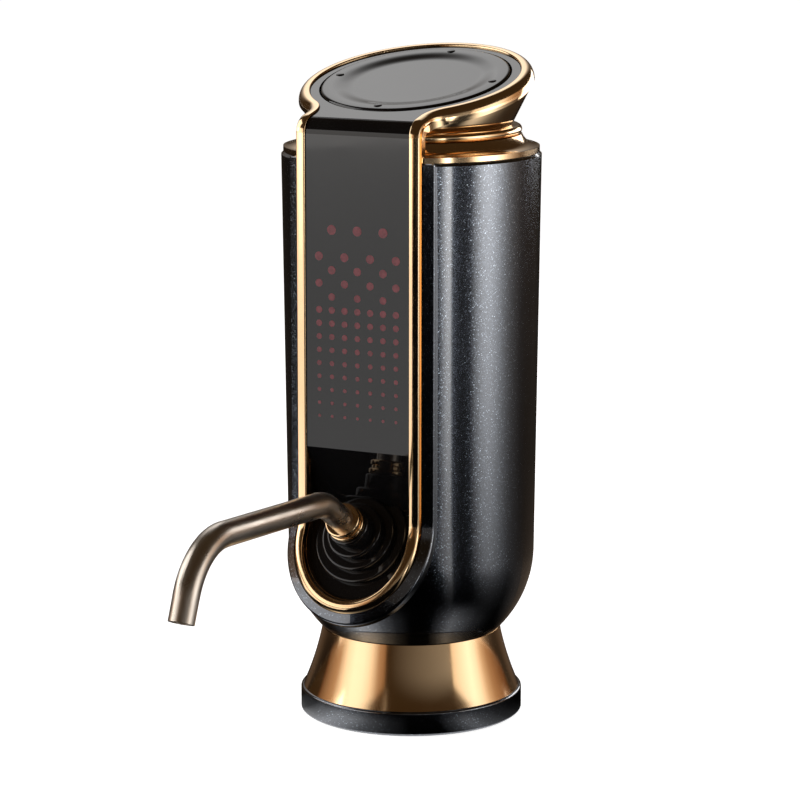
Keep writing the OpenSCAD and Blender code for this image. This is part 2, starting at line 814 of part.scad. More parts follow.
// Fixed stepped fitting in which the tube turns
module spout_fitting() color(gloss) fitting_frame() difference() {
    rotate_extrude() {
        translate([0, flange_z]) square([flange_r, flange_h - 0.5]);
        translate([0, flange_z]) square([flange_r - 0.5, flange_h]);
        translate([flange_r - 0.5, flange_z + flange_h - 0.5]) circle(0.5);
        polygon([[0, flange_z], [neck_step_r + 0.6, flange_z], [neck_step_r + 0.6, flange_z + flange_h],
            [neck_step_r, neck_step_h], [stub_r + 0.3, neck_step_h + 0.4], [stub_r, stub_h - 0.4],
            [stub_r - 0.4, stub_h], [0, stub_h]]);
        translate([0, spigot_end]) square([spigot_r, flange_z - spigot_end + 0.5]);
    }
    translate([0, 0, tube_start - 0.3]) cylinder(r = tube_r + run_fit, h = big);
    translate([0, 0, ring_h - ring_wire - move_gap])
        cylinder(r = tube_r + 2 * ring_wire + 2 * run_fit, h = 2 * ring_wire + 2 * move_gap);
    translate([0, 0, spigot_end - 1]) cylinder(r = tube_r - tube_wall, h = big);
}

// Elbow behind the niche that takes the outlet hose from above
elbow_reach = (outlet_y - fit_y) / cos(fitting_angle);
elbow_z = fitting_z - elbow_reach * sin(fitting_angle);
elbow_top_z = elbow_z + (elbow_r + (hose_r + hose_wall) * sin(fitting_angle)) / cos(fitting_angle) + move_gap;
module spout_elbow() color(dark) difference() {
    union() {
        fitting_frame() translate([0, 0, -elbow_reach - elbow_end])
            cylinder(r = elbow_r, h = elbow_reach + elbow_end + floor_h - floor_t);
        translate([0, outlet_y, elbow_z]) cylinder(r = barb_r, h = elbow_top_z - elbow_z + barb_len);
    }
    fitting_frame() translate([0, 0, spigot_end - fit]) cylinder(r = spigot_r + fit, h = big);
    fitting_frame() translate([0, 0, -elbow_reach - elbow_end / 2])
        cylinder(r = barb_bore + 0.2, h = elbow_reach);
    translate([0, outlet_y, elbow_z]) cylinder(r = barb_bore, h = big);
}

module spout_nut() color(gold) fitting_frame() translate([0, 0, stub_h + fit]) difference() {
    intersection() {
        cylinder(r = nut_r, h = nut_len, $fn = 6);
        cylinder(r1 = nut_r + nut_len - 0.5, r2 = nut_r - 0.5, h = nut_len);
    }
    translate([0, 0, -1]) cylinder(r = tube_r, h = nut_len + 2);
}

// A rod's arc that starts along +Z and turns towards -Y
module bend(radius, turn, r, over = 0) translate([0, -radius, 0]) rotate([90, 0, 90]) rotate([0, 0, -over])
    rotate_extrude(angle = turn + 2 * over) translate([radius, 0]) circle(r);

module past_bend(radius, turn) translate([0, -radius, 0]) rotate([turn, 0, 0])
    translate([0, radius, 0]) children();

// Bent rod in the middle plane, as straights and slightly fuller arcs, longer at both ends by a set length
module bent_rod(r, extra) {
    lead = tube_lead - tube_start;
    root_turn = fitting_angle - tube_rise_angle;
    tip_turn = tube_rise_angle + tube_fall_angle;
    translate([0, 0, -extra]) cylinder(r = r, h = lead + extra);
    translate([0, 0, lead]) {
        bend(tube_bend_root, root_turn, r + bend_swell, bend_over_angle);
        past_bend(tube_bend_root, root_turn) {
            cylinder(r = r, h = tube_run);
            translate([0, 0, tube_run]) {
                bend(tube_bend_tip, tip_turn, r + bend_swell, bend_over_angle);
                past_bend(tube_bend_tip, tip_turn) cylinder(r = r, h = tube_tip + extra);
            }
        }
    }
}

module spout_tube() color(steel) fitting_frame() translate([0, 0, tube_start]) difference() {
    bent_rod(tube_r, 0);
    bent_rod(tube_r - tube_wall, 1);
}

module spout_o_ring() color(rubber) fitting_frame() translate([0, 0, ring_h]) rotate_extrude()
    translate([tube_r + ring_wire, 0]) circle(ring_wire);

// Button

module push_button() color(gloss) head_frame() {
    rotate_extrude($fn = 128) difference() {
        union() {
            translate([0, button_bottom]) square([button_r, button_t - 0.8]);
            translate([0, button_bottom]) square([button_r - 0.8, button_t]);
            translate([button_r - 0.8, button_top - 0.8]) circle(0.8);
        }
        polygon([[0, button_top - dish_depth], [dish_r, button_top - dish_depth],
            [dish_r + dish_slope, button_top], [dish_r + dish_slope, 1], [0, 1]]);
    }
    for (a = [0 : 90 : 270]) rotate([0, 0, a]) translate([bump_x, 0, button_top - 0.3])
        cylinder(r1 = bump_r, r2 = bump_r - 0.3, h = bump_h + 0.3);
    translate([0, 0, button_bottom - stem_len]) cylinder(r = stem_r, h = stem_len + 0.5);
}

// Fixed guide: a tilted plate on four legs, with ribs that hold the switch's board
module button_guide() color(dark) difference() {
    union() {
        head_frame() {
            translate([0, 0, guide_top - guide_t]) cylinder(r = guide_r, h = guide_t);
            translate([0, 0, guide_top - guide_t - guide_tube_len])
                cylinder(r = stem_r + guide_tube_w, h = guide_tube_len + guide_t / 2);
            both_sides() translate([guide_rib_x, -guide_rib_d / 2, button_board_top])
                cube([guide_rib_w, guide_rib_d, guide_top - button_board_top - guide_t / 2]);
        }
        intersection() {
            both_sides() for (y = [guide_leg_front, guide_leg_back]) translate([guide_leg_x, y, bulk_top])
                cylinder(r = guide_leg_r, h = head_z - bulk_top);
            head_frame() translate([-big, -big, guide_top - 2 * big - guide_t / 2]) cube(2 * big);
        }
        both_sides() translate([guide_leg_x, guide_leg_front - guide_leg_r, bulk_top])
            cube([guide_foot_w, guide_leg_back - guide_leg_front + 2 * guide_leg_r, guide_foot_t]);
    }
    head_frame() translate([0, 0, guide_top - stem_len]) cylinder(r = stem_r + run_fit, h = 2 * stem_len);
}

function spring_point(t) = let(a = 360 * spring_turns * t)
    [spring_mean_r * cos(a), spring_mean_r * sin(a), spring_wire / 2 + t * (spring_len - spring_wire)];
spring_steps = 16 * spring_turns;
spring_sides = 6;
spring_gap = (spring_len - spring_wire) / spring_turns - spring_wire;
echo(spring_least_gap = spring_gap);

// Wire that winds round the stem, swept ring by ring
module button_spring() color(steel) head_frame() translate([0, 0, guide_top + fit / 2]) {
    rows = [for (i = [0 : spring_steps]) let(t = i / spring_steps, a = 360 * spring_turns * t)
        [for (k = [0 : spring_sides - 1]) let(b = 360 * k / spring_sides)
            spring_point(t * (1 - fit / spring_len))
                + spring_wire / 2 * (cos(b) * [cos(a), sin(a), 0] + sin(b) * [0, 0, 1])]];
    points = [for (row = rows) each row];
    sides = [for (i = [0 : spring_steps - 1], k = [0 : spring_sides - 1])
        let(a = i * spring_sides + k, b = i * spring_sides + (k + 1) % spring_sides)
            each [[a, b, b + spring_sides], [a, b + spring_sides, a + spring_sides]]];
    last = spring_steps * spring_sides;
    ends = [for (k = [1 : spring_sides - 2]) each [[0, k + 1, k], [last, last + k, last + k + 1]]];
    polyhedron(points, concat(sides, ends));
}

module button_board() color(circuit) head_frame()
    translate([-guide_rib_x - guide_rib_w, -button_board_d / 2, button_board_top - board_t])
        cube([2 * guide_rib_x + 2 * guide_rib_w, button_board_d, board_t]);

module tact_switch() color(dark) head_frame() translate([0, 0, button_board_top]) {
    translate([-switch_w / 2, -switch_w / 2, 0]) cube([switch_w, switch_w, switch_h]);
    cylinder(r = plunger_r, h = switch_h + plunger_h);
}

// Pump

module at_pump_screws() for (sx = [-1, 1], sy = [-1, 1])
    translate([sx * pump_screw_x, pump_y + sy * pump_screw_x, 0]) children();

module pump_ports() {
    children();
    translate([0, outlet_y, 0]) children();
}

// Space in which the two gears turn, with a pocket to each port
module pump_chamber(h) {
    for (sx = [-1, 1]) translate([sx * gear_x, pump_y, 0]) cylinder(r = chamber_r, h = h);
    translate([-pocket_half, outlet_y, 0]) cube([2 * pocket_half, -outlet_y, h]);
    pump_ports() cylinder(r = pocket_half, h = h);
}

module pump_cover() color(steel) difference() {
    union() {
        translate([0, pump_y, pump_z]) cylinder(r = pump_r, h = cover_t);
        pump_ports() translate([0, 0, pump_z - barb_len]) cylinder(r = barb_r, h = barb_len + 1);
    }
    pump_ports() translate([0, 0, pump_z - barb_len - 1])
        cylinder(r = barb_bore, h = barb_len + cover_t + 2);
    translate([gear_x, pump_y, pump_z + 1]) cylinder(r = pin_r, h = cover_t);
    at_pump_screws() translate([0, 0, pump_z - 1]) cylinder(r = pump_screw_r + fit, h = cover_t + 2);
}

module pump_gasket() color(rubber) translate([0, 0, seat_z]) difference() {
    translate([0, pump_y, 0]) cylinder(r = pump_r, h = seat_t);
    translate([0, 0, -1]) pump_chamber(seat_t + 2);
    at_pump_screws() translate([0, 0, -1]) cylinder(r = pump_screw_r + fit, h = seat_t + 2);
}

module pump_body() color(steel) difference() {
    translate([0, pump_y, chamber_z]) cylinder(r = pump_r, h = motor_z - chamber_z);
    translate([0, 0, chamber_z - 1]) pump_chamber(chamber_h + 1);
    translate([-gear_x, pump_y, chamber_z]) cylinder(r = shaft_r + run_fit, h = big);
    translate([-gear_x, pump_y, motor_z - seal_t - fit]) cylinder(r = seal_r + fit, h = seal_t + 1);
    translate([gear_x, pump_y, chamber_z]) cylinder(r = pin_r, h = chamber_h + 2);
    at_pump_screws() translate([0, 0, chamber_z - 1]) cylinder(r = pump_screw_r + fit, h = pump_grip + 2);
}

module pump_screws() color(steel) at_pump_screws() {
    translate([0, 0, pump_z - shelf_t - screw_head_t])
        cylinder(r = pump_screw_r + screw_rim, h = screw_head_t);
    translate([0, 0, pump_z - shelf_t - fit])
        cylinder(r = pump_screw_r, h = shelf_t + cover_t + seat_t + pump_grip);
}

module shaft_seal() color(rubber) translate([-gear_x, pump_y, motor_z - seal_t])
    ring(seal_r, shaft_r + run_fit, seal_t - fit);

// Involute outline of a pump gear with thinned teeth
function involute(a) = gear_base_r * [cos(a) + a * PI / 180 * sin(a), sin(a) - a * PI / 180 * cos(a)];
function turn(p, a) = [p[0] * cos(a) - p[1] * sin(a), p[0] * sin(a) + p[1] * cos(a)];
function roll(r) = sqrt((r / gear_base_r)^2 - 1) * 180 / PI;
pitch_roll = roll(gear_pitch_r);
pitch_angle = pitch_roll - atan(pitch_roll * PI / 180);
half_tooth = 90 / gear_teeth - gear_backlash / gear_pitch_r * 180 / PI / 2;
flank_steps = 5;
flank = [for (i = [0 : flank_steps])
    turn(involute(roll(gear_tip_r) * i / flank_steps), -pitch_angle - half_tooth)];
flank_back = [for (i = [flank_steps : -1 : 0]) [flank[i][0], -flank[i][1]]];
root_angle = atan2(flank[0][1], flank[0][0]);
tooth = concat([gear_root_r * [cos(root_angle), sin(root_angle)]], flank, flank_back,
    [gear_root_r * [cos(root_angle), -sin(root_angle)]]);
module gear(bore) difference() {
    linear_extrude(gear_w) polygon([for (k = [0 : gear_teeth - 1])
        each [for (p = tooth) turn(p, 360 * k / gear_teeth)]]);
    translate([0, 0, -1]) cylinder(r = bore, h = gear_w + 2);
}

module drive_gear() color(gold) translate([-gear_x, pump_y, gear_z]) gear(shaft_r);

// Turned so that one of its gaps faces a tooth of the drive gear
module driven_gear() color(gold) translate([gear_x, pump_y, gear_z])
    rotate([0, 0, 180 + 180 / gear_teeth]) gear(pin_r + run_fit);

module driven_pin() color(steel) translate([gear_x, pump_y, pump_z + 1])
    cylinder(r = pin_r, h = chamber_z + chamber_h + 1 - pump_z);

// Motor

module at_motor() translate([-gear_x, pump_y, motor_z]) children();

module motor_can() color(steel) at_motor() difference() {
    cylinder(r = motor_r, h = motor_len);
    translate([0, 0, can_wall]) cylinder(r = motor_r - can_wall, h = motor_len);
    translate([0, 0, -1]) cylinder(r = shaft_r + run_fit, h = 3);
}

module motor_magnets() color(dark) translate([-gear_x, pump_y, magnet_z]) difference() {
    ring(motor_r - can_wall - fit / 2, motor_r - can_wall - magnet_t, magnet_len);
    translate([-big, -magnet_slot / 2, -1]) cube([2 * big, magnet_slot, magnet_len + 2]);
}

// Three wound poles and the commutator
module motor_armature() color([0.6, 0.35, 0.2]) translate([-gear_x, pump_y, magnet_z + 1]) difference() {
    union() {
        cylinder(r = armature_r, h = magnet_len - 2);
        cylinder(r = commutator_r, h = magnet_len + 1.5);
    }
    for (a = [0 : 120 : 240]) rotate([0, 0, a]) translate([pole_root_r, -pole_slot / 2, -1])
        cube([armature_r, pole_slot, magnet_len]);
    translate([0, 0, -1]) cylinder(r = shaft_r, h = magnet_len + 4);
}

module motor_shaft() color(steel) translate([-gear_x, pump_y, gear_z])
    cylinder(r = shaft_r, h = shaft_top - gear_z);

module motor_end_cap() color(dark) at_motor() translate([0, 0, motor_len]) difference() {
    union() {
        cylinder(r = motor_r, h = cap_t);
        translate([0, 0, -1.5]) cylinder(r = motor_r - can_wall - fit, h = 2);
        for (side = [-1, 1]) translate([side * motor_tab_x - tab_t / 2, -tab_w / 2, 0])
            cube([tab_t, tab_w, cap_t + motor_tab_h]);
    }
    translate([0, 0, -3]) cylinder(r = 3, h = 3.5);
    translate([0, 0, -3]) cylinder(r = shaft_r + run_fit, h = big);
}

// Hoses

module hose(from, to) translate([0, 0, from]) ring(hose_r + hose_wall, hose_r, to - from);

module suction_hose() color([0.85, 0.85, 0.85]) hose(roof_top + port_flange_t + 0.2, pump_z - 0.3);

module outlet_hose() color([0.85, 0.85, 0.85]) translate([0, outlet_y, 0]) hose(elbow_top_z, pump_z - 0.3);

// Battery

module battery_cell() color([0.2, 0.35, 0.6]) translate([0, cell_y, cell_z]) {
    cylinder(r = cell_r, h = cell_len - cell_nub_h);
    cylinder(r = cell_nub_r, h = cell_len);
}

module battery_holder() color(dark) translate([0, cell_y, cell_z])
    ring(cell_r + fit + holder_wall, cell_r + fit, holder_len);

// Boards

module main_board() color(circuit) translate([board_x, board_front_y, board_low_z])
    cube([board_t, board_d, board_h]);

// A square part on the main board's inner face, placed by shares of the board's depth and height
module board_part(w, t, share_y, share_z)
    translate([board_x - t, board_front_y + share_y * board_d - w / 2,
        board_low_z + share_z * board_h - w / 2]) cube([t, w, w]);

module board_parts() color(dark) {
    board_part(chip_w, chip_t, 0.22, 0.16);
    board_part(driver_w, driver_t, 0.8, 0.1);
    board_part(coil_w, coil_t, 0.26, 0.56);
    board_part(capacitor_w, capacitor_t, 0.7, 0.66);
}

module led_board() color(circuit) translate([-led_board_half, led_y, led_board_low])
    cube([2 * led_board_half, board_t, led_board_top - led_board_low]);

// Lights thin out towards the top, where only every other place is filled
function led_on(row, col) = row < 9 ? true : row < 12 ? (row + col) % 2 == 0 : (row + 2 * col) % 4 == 0;

module led_chips() color([0.8, 0.1, 0.1]) for (row = [0 : led_rows - 1], col = [0 : led_cols - 1])
    if (led_on(row, col)) translate([(col - (led_cols - 1) / 2) * led_pitch_x - led_w / 2, led_y - led_t,
        led_low_z + row * led_pitch_z - led_t / 2]) cube([led_w, led_t, led_t]);

module usb_board() color(circuit)
    translate([-usb_board_w / 2, usb_shelf_y - 1 - usb_board_d, usb_shelf_z + usb_shelf_t])
        cube([usb_board_w, usb_board_d, board_t]);

// Charging inlet, flush with the back of the shell
module usb_socket() color(steel) {
    mouth = shell_r(usb_z) - 0.5;
    difference() {
        translate([0, mouth - usb_len, usb_z + usb_h / 2]) rotate([-90, 0, 0]) usb_outline(0, usb_len);
        translate([0, mouth - usb_len + 1, usb_z + usb_h / 2]) rotate([-90, 0, 0])
            usb_outline(-usb_wall, usb_len);
    }
    translate([-usb_tongue_w / 2, mouth - usb_len + usb_wall, usb_z + usb_h / 2 - usb_tongue_t / 2])
        cube([usb_tongue_w, usb_len - 1.3, usb_tongue_t]);
}

// Wires, as straights and arcs that end on the main board
lead_bend = 2;
module lead_corner(run) {
    bend(lead_bend, 90, lead_r);
    past_bend(lead_bend, 90) {
        cylinder(r = lead_r, h = run);
        translate([0, 0, run]) children();
    }
}

module motor_leads() color([0.7, 0.1, 0.1]) for (side = [-1, 1]) {
    rise = lead_bend - side * 1.2;
    tab_x = side * motor_tab_x - gear_x;
    translate([tab_x, pump_y, motor_top + cap_t + motor_tab_h]) rotate([0, 0, 90]) {
        cylinder(r = lead_r, h = rise);
        translate([0, 0, rise]) lead_corner(board_x - tab_x - lead_bend);
    }
}

module battery_lead() color([0.7, 0.1, 0.1]) translate([0, cell_y, cell_z + cell_len]) {
    cylinder(r = lead_r, h = 1);
    translate([0, 0, 1]) lead_corner(cell_y - post_y + post_d) rotate([0, 0, 90])
        lead_corner(board_x - lead_bend);
}

foot_ring();
base_skirt();
bottle_socket();
bottle_gasket();
suction_port();
vent_valve();
base_screws();
body_shell();
inner_chassis();
chassis_screws();
top_bulkhead();
head_screws();
top_collar();
head_cup();
gold_frame();
face_panel();
niche_floor();
spout_fitting();
spout_elbow();
spout_nut();
spout_tube();
spout_o_ring();
push_button();
button_guide();
button_spring();
button_board();
tact_switch();
pump_cover();
pump_gasket();
pump_body();
pump_screws();
shaft_seal();
drive_gear();
driven_gear();
driven_pin();
motor_can();
motor_magnets();
motor_armature();
motor_shaft();
motor_end_cap();
suction_hose();
outlet_hose();
battery_cell();
battery_holder();
main_board();
board_parts();
led_board();
led_chips();
usb_board();
usb_socket();
motor_leads();
battery_lead();
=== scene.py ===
import bpy
import math
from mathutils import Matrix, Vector


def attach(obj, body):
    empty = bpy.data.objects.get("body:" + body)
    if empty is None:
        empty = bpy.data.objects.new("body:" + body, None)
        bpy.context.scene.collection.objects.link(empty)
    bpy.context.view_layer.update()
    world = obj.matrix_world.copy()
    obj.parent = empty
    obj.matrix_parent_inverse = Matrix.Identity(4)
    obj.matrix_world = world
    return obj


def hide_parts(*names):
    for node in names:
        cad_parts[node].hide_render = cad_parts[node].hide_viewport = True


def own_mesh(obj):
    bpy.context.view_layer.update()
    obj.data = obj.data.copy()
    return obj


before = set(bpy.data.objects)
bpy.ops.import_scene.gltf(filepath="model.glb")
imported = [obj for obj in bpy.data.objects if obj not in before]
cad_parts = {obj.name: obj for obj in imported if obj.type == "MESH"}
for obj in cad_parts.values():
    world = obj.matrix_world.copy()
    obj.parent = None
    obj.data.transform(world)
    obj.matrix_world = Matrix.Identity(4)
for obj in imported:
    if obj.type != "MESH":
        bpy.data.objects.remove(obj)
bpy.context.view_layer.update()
bpy.ops.object.select_all(action="DESELECT")

# Foot ring on which the pourer stands: a moulded ring with its upper edge rounded over, sprayed with the
# same dark paint as the body. Fine metal flakes lie in the paint under a clear gloss coat.
MM = 0.001
paint_dark = (0.052, 0.058, 0.072, 1)
paint_mid = (0.075, 0.085, 0.105, 1)
flake_pale = (0.34, 0.39, 0.45, 1)
flakes_per_metre = 5200
flake_from = 0.93
flake_full = 0.995
flake_slant = 0.12


def start_finish(name):
    finish = bpy.data.materials.new(name)
    finish.use_nodes = True
    return finish, finish.node_tree, finish.node_tree.nodes["Principled BSDF"]


def dress(finish, *names):
    for name in names:
        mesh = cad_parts[name].data
        mesh.materials.clear()
        mesh.materials.append(finish)


def rub_marks_group():
    """Soft patches where hands have wiped a finish, as a roughness between two values."""
    group = bpy.data.node_groups.new("rub_marks", "ShaderNodeTree")
    for name, value in (("Scale", 60), ("Low", 0.1), ("High", 0.2)):
        socket = group.interface.new_socket(name=name, in_out="INPUT", socket_type="NodeSocketFloat")
        socket.default_value = value
    group.interface.new_socket(name="Roughness", in_out="OUTPUT", socket_type="NodeSocketFloat")
    inlet = group.nodes.new("NodeGroupInput")
    outlet = group.nodes.new("NodeGroupOutput")
    place = group.nodes.new("ShaderNodeTexCoord")
    patches = group.nodes.new("ShaderNodeTexNoise")
    patches.inputs["Detail"].default_value = 4
    spread = group.nodes.new("ShaderNodeMapRange")
    spread.inputs["From Min"].default_value = 0.35
    spread.inputs["From Max"].default_value = 0.65
    group.links.new(place.outputs["Object"], patches.inputs["Vector"])
    group.links.new(inlet.outputs["Scale"], patches.inputs["Scale"])
    group.links.new(patches.outputs["Fac"], spread.inputs["Value"])
    group.links.new(inlet.outputs["Low"], spread.inputs["To Min"])
    group.links.new(inlet.outputs["High"], spread.inputs["To Max"])
    group.links.new(spread.outputs["Result"], outlet.inputs["Roughness"])
    return group


rub_marks = rub_marks_group()


def add_rub_marks(tree, shader, scale, low, high):
    marks = tree.nodes.new("ShaderNodeGroup")
    marks.node_tree = rub_marks
    marks.inputs["Scale"].default_value = scale
    marks.inputs["Low"].default_value = low
    marks.inputs["High"].default_value = high
    tree.links.new(marks.outputs["Roughness"], shader.inputs["Roughness"])


flake_paint, tree, shader = start_finish("flake_paint")
place = tree.nodes.new("ShaderNodeTexCoord")
flakes = tree.nodes.new("ShaderNodeTexVoronoi")
flakes.inputs["Scale"].default_value = flakes_per_metre
tree.links.new(place.outputs["Object"], flakes.inputs["Vector"])
flake_pick = tree.nodes.new("ShaderNodeSeparateColor")
tree.links.new(flakes.outputs["Color"], flake_pick.inputs["Color"])
flake_tone = tree.nodes.new("ShaderNodeValToRGB")
flake_tone.color_ramp.elements[0].color = paint_dark
flake_tone.color_ramp.elements[1].position = flake_full
flake_tone.color_ramp.elements[1].color = flake_pale
middle = flake_tone.color_ramp.elements.new(flake_from)
middle.color = paint_mid
tree.links.new(flake_pick.outputs["Red"], flake_tone.inputs["Fac"])
tree.links.new(flake_tone.outputs["Color"], shader.inputs["Base Color"])
flake_lean = tree.nodes.new("ShaderNodeVectorMath")
flake_lean.operation = "SUBTRACT"
flake_lean.inputs[1].default_value = (0.5, 0.5, 0.5)
tree.links.new(flakes.outputs["Color"], flake_lean.inputs[0])
flake_tilt = tree.nodes.new("ShaderNodeVectorMath")
flake_tilt.operation = "MULTIPLY_ADD"
flake_tilt.inputs[1].default_value = (flake_slant, flake_slant, flake_slant)
surface = tree.nodes.new("ShaderNodeNewGeometry")
tree.links.new(flake_lean.outputs["Vector"], flake_tilt.inputs[0])
tree.links.new(surface.outputs["Normal"], flake_tilt.inputs[2])
flake_face = tree.nodes.new("ShaderNodeVectorMath")
flake_face.operation = "NORMALIZE"
tree.links.new(flake_tilt.outputs["Vector"], flake_face.inputs[0])
tree.links.new(flake_face.outputs["Vector"], shader.inputs["Normal"])
add_rub_marks(tree, shader, scale=90, low=0.18, high=0.21)
shader.inputs["Metallic"].default_value = 1
shader.inputs["Coat Weight"].default_value = 1
shader.inputs["Coat Roughness"].default_value = 0.04
shader.inputs["Coat IOR"].default_value = 2.0
dress(flake_paint, "foot_ring")
across_x = Vector((1, 0, 0))
along_z = Vector((0, 0, 1))
foot_r = 27.4 * MM
foot_in = 18.0 * MM
foot_h = 6 * MM
foot_round = 0.6 * MM
foot_bevel = 0.4 * MM
base_centre = Vector((0, 0, 0))
ring_steps = 160
weld_gap = 0.002 * MM


def take_up(piece):
    """Puts a new piece into the scene, selected alone and active."""
    bpy.context.scene.collection.objects.link(piece)
    bpy.ops.object.select_all(action="DESELECT")
    piece.select_set(True)
    bpy.context.view_layer.objects.active = piece


def round_edge(radius, top, edge, steps):
    """The rounded upper edge of a profile, from its side to its top."""
    turns = [math.radians(90 * step / steps) for step in range(steps + 1)]
    return [(radius - edge + edge * math.cos(turn), top - edge + edge * math.sin(turn)) for turn in turns]


def spun(name, profile, centre, across, along, steps):
    """A closed round piece: a profile of radius and height, spun about an axis."""
    mesh = bpy.data.meshes.new(name)
    points = [centre + across * radius + along * height for radius, height in profile]
    mesh.from_pydata(points, [(step, step + 1) for step in range(len(points) - 1)], [])
    piece = bpy.data.objects.new(name, mesh)
    take_up(piece)
    bpy.ops.object.mode_set(mode="EDIT")
    bpy.ops.mesh.select_all(action="SELECT")
    bpy.ops.mesh.spin(steps=steps, angle=2 * math.pi, center=centre, axis=along)
    bpy.ops.mesh.select_all(action="SELECT")
    bpy.ops.mesh.remove_doubles(threshold=weld_gap)
    bpy.ops.mesh.normals_make_consistent(inside=False)
    bpy.ops.object.mode_set(mode="OBJECT")
    bpy.ops.object.shade_smooth_by_angle(angle=math.radians(40))
    return piece


profile = [(foot_in, 0), (foot_r - foot_bevel, 0), (foot_r, foot_bevel)]
profile += round_edge(foot_r, foot_h, foot_round, steps=6)
profile += [(foot_in, foot_h), (foot_in, 0)]
foot_rim = spun("foot_rim", profile, base_centre, across_x, along_z, ring_steps)
foot_rim.data.materials.append(flake_paint)
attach(foot_rim, "stand")
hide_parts("foot_ring")

# Flared skirt between the foot and the body: spun sheet metal with a slightly hollow side, plated in a
# warm champagne gold and polished, so that it mirrors the room with only faint wipe marks.
gold_pale = (0.90, 0.65, 0.39, 1)
gold_deep = (0.82, 0.56, 0.31, 1)
gold_trim, tree, shader = start_finish("gold_trim")
place = tree.nodes.new("ShaderNodeTexCoord")
plating = tree.nodes.new("ShaderNodeTexNoise")
plating.inputs["Scale"].default_value = 35
plating.inputs["Detail"].default_value = 3
tree.links.new(place.outputs["Object"], plating.inputs["Vector"])
plating_tone = tree.nodes.new("ShaderNodeValToRGB")
plating_tone.color_ramp.elements[0].position = 0.3
plating_tone.color_ramp.elements[0].color = gold_deep
plating_tone.color_ramp.elements[1].position = 0.7
plating_tone.color_ramp.elements[1].color = gold_pale
tree.links.new(plating.outputs["Fac"], plating_tone.inputs["Fac"])
tree.links.new(plating_tone.outputs["Color"], shader.inputs["Base Color"])
add_rub_marks(tree, shader, scale=120, low=0.10, high=0.15)
shader.inputs["Metallic"].default_value = 1
dress(gold_trim, "base_skirt")
skirt_low_r = 26.7 * MM
skirt_top_r = 22.0 * MM
skirt_top_z = 21.2 * MM
skirt_wall = 1.2 * MM
skirt_dip = 0.45 * MM
skirt_steps = 16
skirt_outside = []
for step in range(skirt_steps + 1):
    share = step / skirt_steps
    hollow = 4 * skirt_dip * share * (1 - share)
    skirt_outside.append((skirt_low_r + (skirt_top_r - skirt_low_r) * share - hollow,
                          foot_h + (skirt_top_z - foot_h) * share))
skirt_inside = [(radius - skirt_wall, height) for radius, height in reversed(skirt_outside)]
profile = skirt_outside + skirt_inside + skirt_outside[:1]
flared_skirt = spun("flared_skirt", profile, base_centre, across_x, along_z, ring_steps)
flared_skirt.data.materials.append(gold_trim)
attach(flared_skirt, "stand")
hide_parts("base_skirt")

# Bottle socket in the base, moulded in black plastic with a fine spark-eroded grain. The tube slides over
# a bottle's mouth and its flange is screwed up through the floor of the body.
plastic_dark = (0.016, 0.016, 0.017, 1)
plastic_grey = (0.026, 0.026, 0.027, 1)


def mould_grain_group():
    """Fine grain that a mould leaves on plastic and rubber, as a height for a bump."""
    group = bpy.data.node_groups.new("mould_grain", "ShaderNodeTree")
    socket = group.interface.new_socket(name="Scale", in_out="INPUT", socket_type="NodeSocketFloat")
    socket.default_value = 2500
    group.interface.new_socket(name="Height", in_out="OUTPUT", socket_type="NodeSocketFloat")
    inlet = group.nodes.new("NodeGroupInput")
    outlet = group.nodes.new("NodeGroupOutput")
    place = group.nodes.new("ShaderNodeTexCoord")
    grain = group.nodes.new("ShaderNodeTexNoise")
    grain.inputs["Detail"].default_value = 2
    group.links.new(place.outputs["Object"], grain.inputs["Vector"])
    group.links.new(inlet.outputs["Scale"], grain.inputs["Scale"])
    group.links.new(grain.outputs["Fac"], outlet.inputs["Height"])
    return group


mould_grain = mould_grain_group()


def add_mould_grain(tree, shader, scale, depth):
    grain = tree.nodes.new("ShaderNodeGroup")
    grain.node_tree = mould_grain
    grain.inputs["Scale"].default_value = scale
    bump = tree.nodes.new("ShaderNodeBump")
    bump.inputs["Strength"].default_value = 0.4
    bump.inputs["Distance"].default_value = depth
    tree.links.new(grain.outputs["Height"], bump.inputs["Height"])
    tree.links.new(bump.outputs["Normal"], shader.inputs["Normal"])


def add_mottle(tree, shader, scale, first, second):
    place = tree.nodes.new("ShaderNodeTexCoord")
    mottle = tree.nodes.new("ShaderNodeTexNoise")
    mottle.inputs["Scale"].default_value = scale
    mottle.inputs["Detail"].default_value = 3
    tone = tree.nodes.new("ShaderNodeValToRGB")
    tone.color_ramp.elements[0].position = 0.35
    tone.color_ramp.elements[0].color = first
    tone.color_ramp.elements[1].position = 0.65
    tone.color_ramp.elements[1].color = second
    tree.links.new(place.outputs["Object"], mottle.inputs["Vector"])
    tree.links.new(mottle.outputs["Fac"], tone.inputs["Fac"])
    tree.links.new(tone.outputs["Color"], shader.inputs["Base Color"])


black_plastic, tree, shader = start_finish("black_plastic")
add_mottle(tree, shader, scale=300, first=plastic_dark, second=plastic_grey)
add_rub_marks(tree, shader, scale=150, low=0.32, high=0.48)
add_mould_grain(tree, shader, scale=2600, depth=0.04 * MM)
dress(black_plastic, "bottle_socket")

# Soft seals: the gasket that closes on the bottle's lip and the little mushroom valve that lets air in.
# Both are pressed from dark food-safe rubber, matt with a faint bloom.
rubber_dark = (0.018, 0.018, 0.020, 1)
rubber_bloom = (0.034, 0.034, 0.036, 1)
seal_rubber, tree, shader = start_finish("seal_rubber")
add_mottle(tree, shader, scale=220, first=rubber_dark, second=rubber_bloom)
add_rub_marks(tree, shader, scale=180, low=0.6, high=0.75)
add_mould_grain(tree, shader, scale=1800, depth=0.05 * MM)
dress(seal_rubber, "bottle_gasket", "vent_valve")

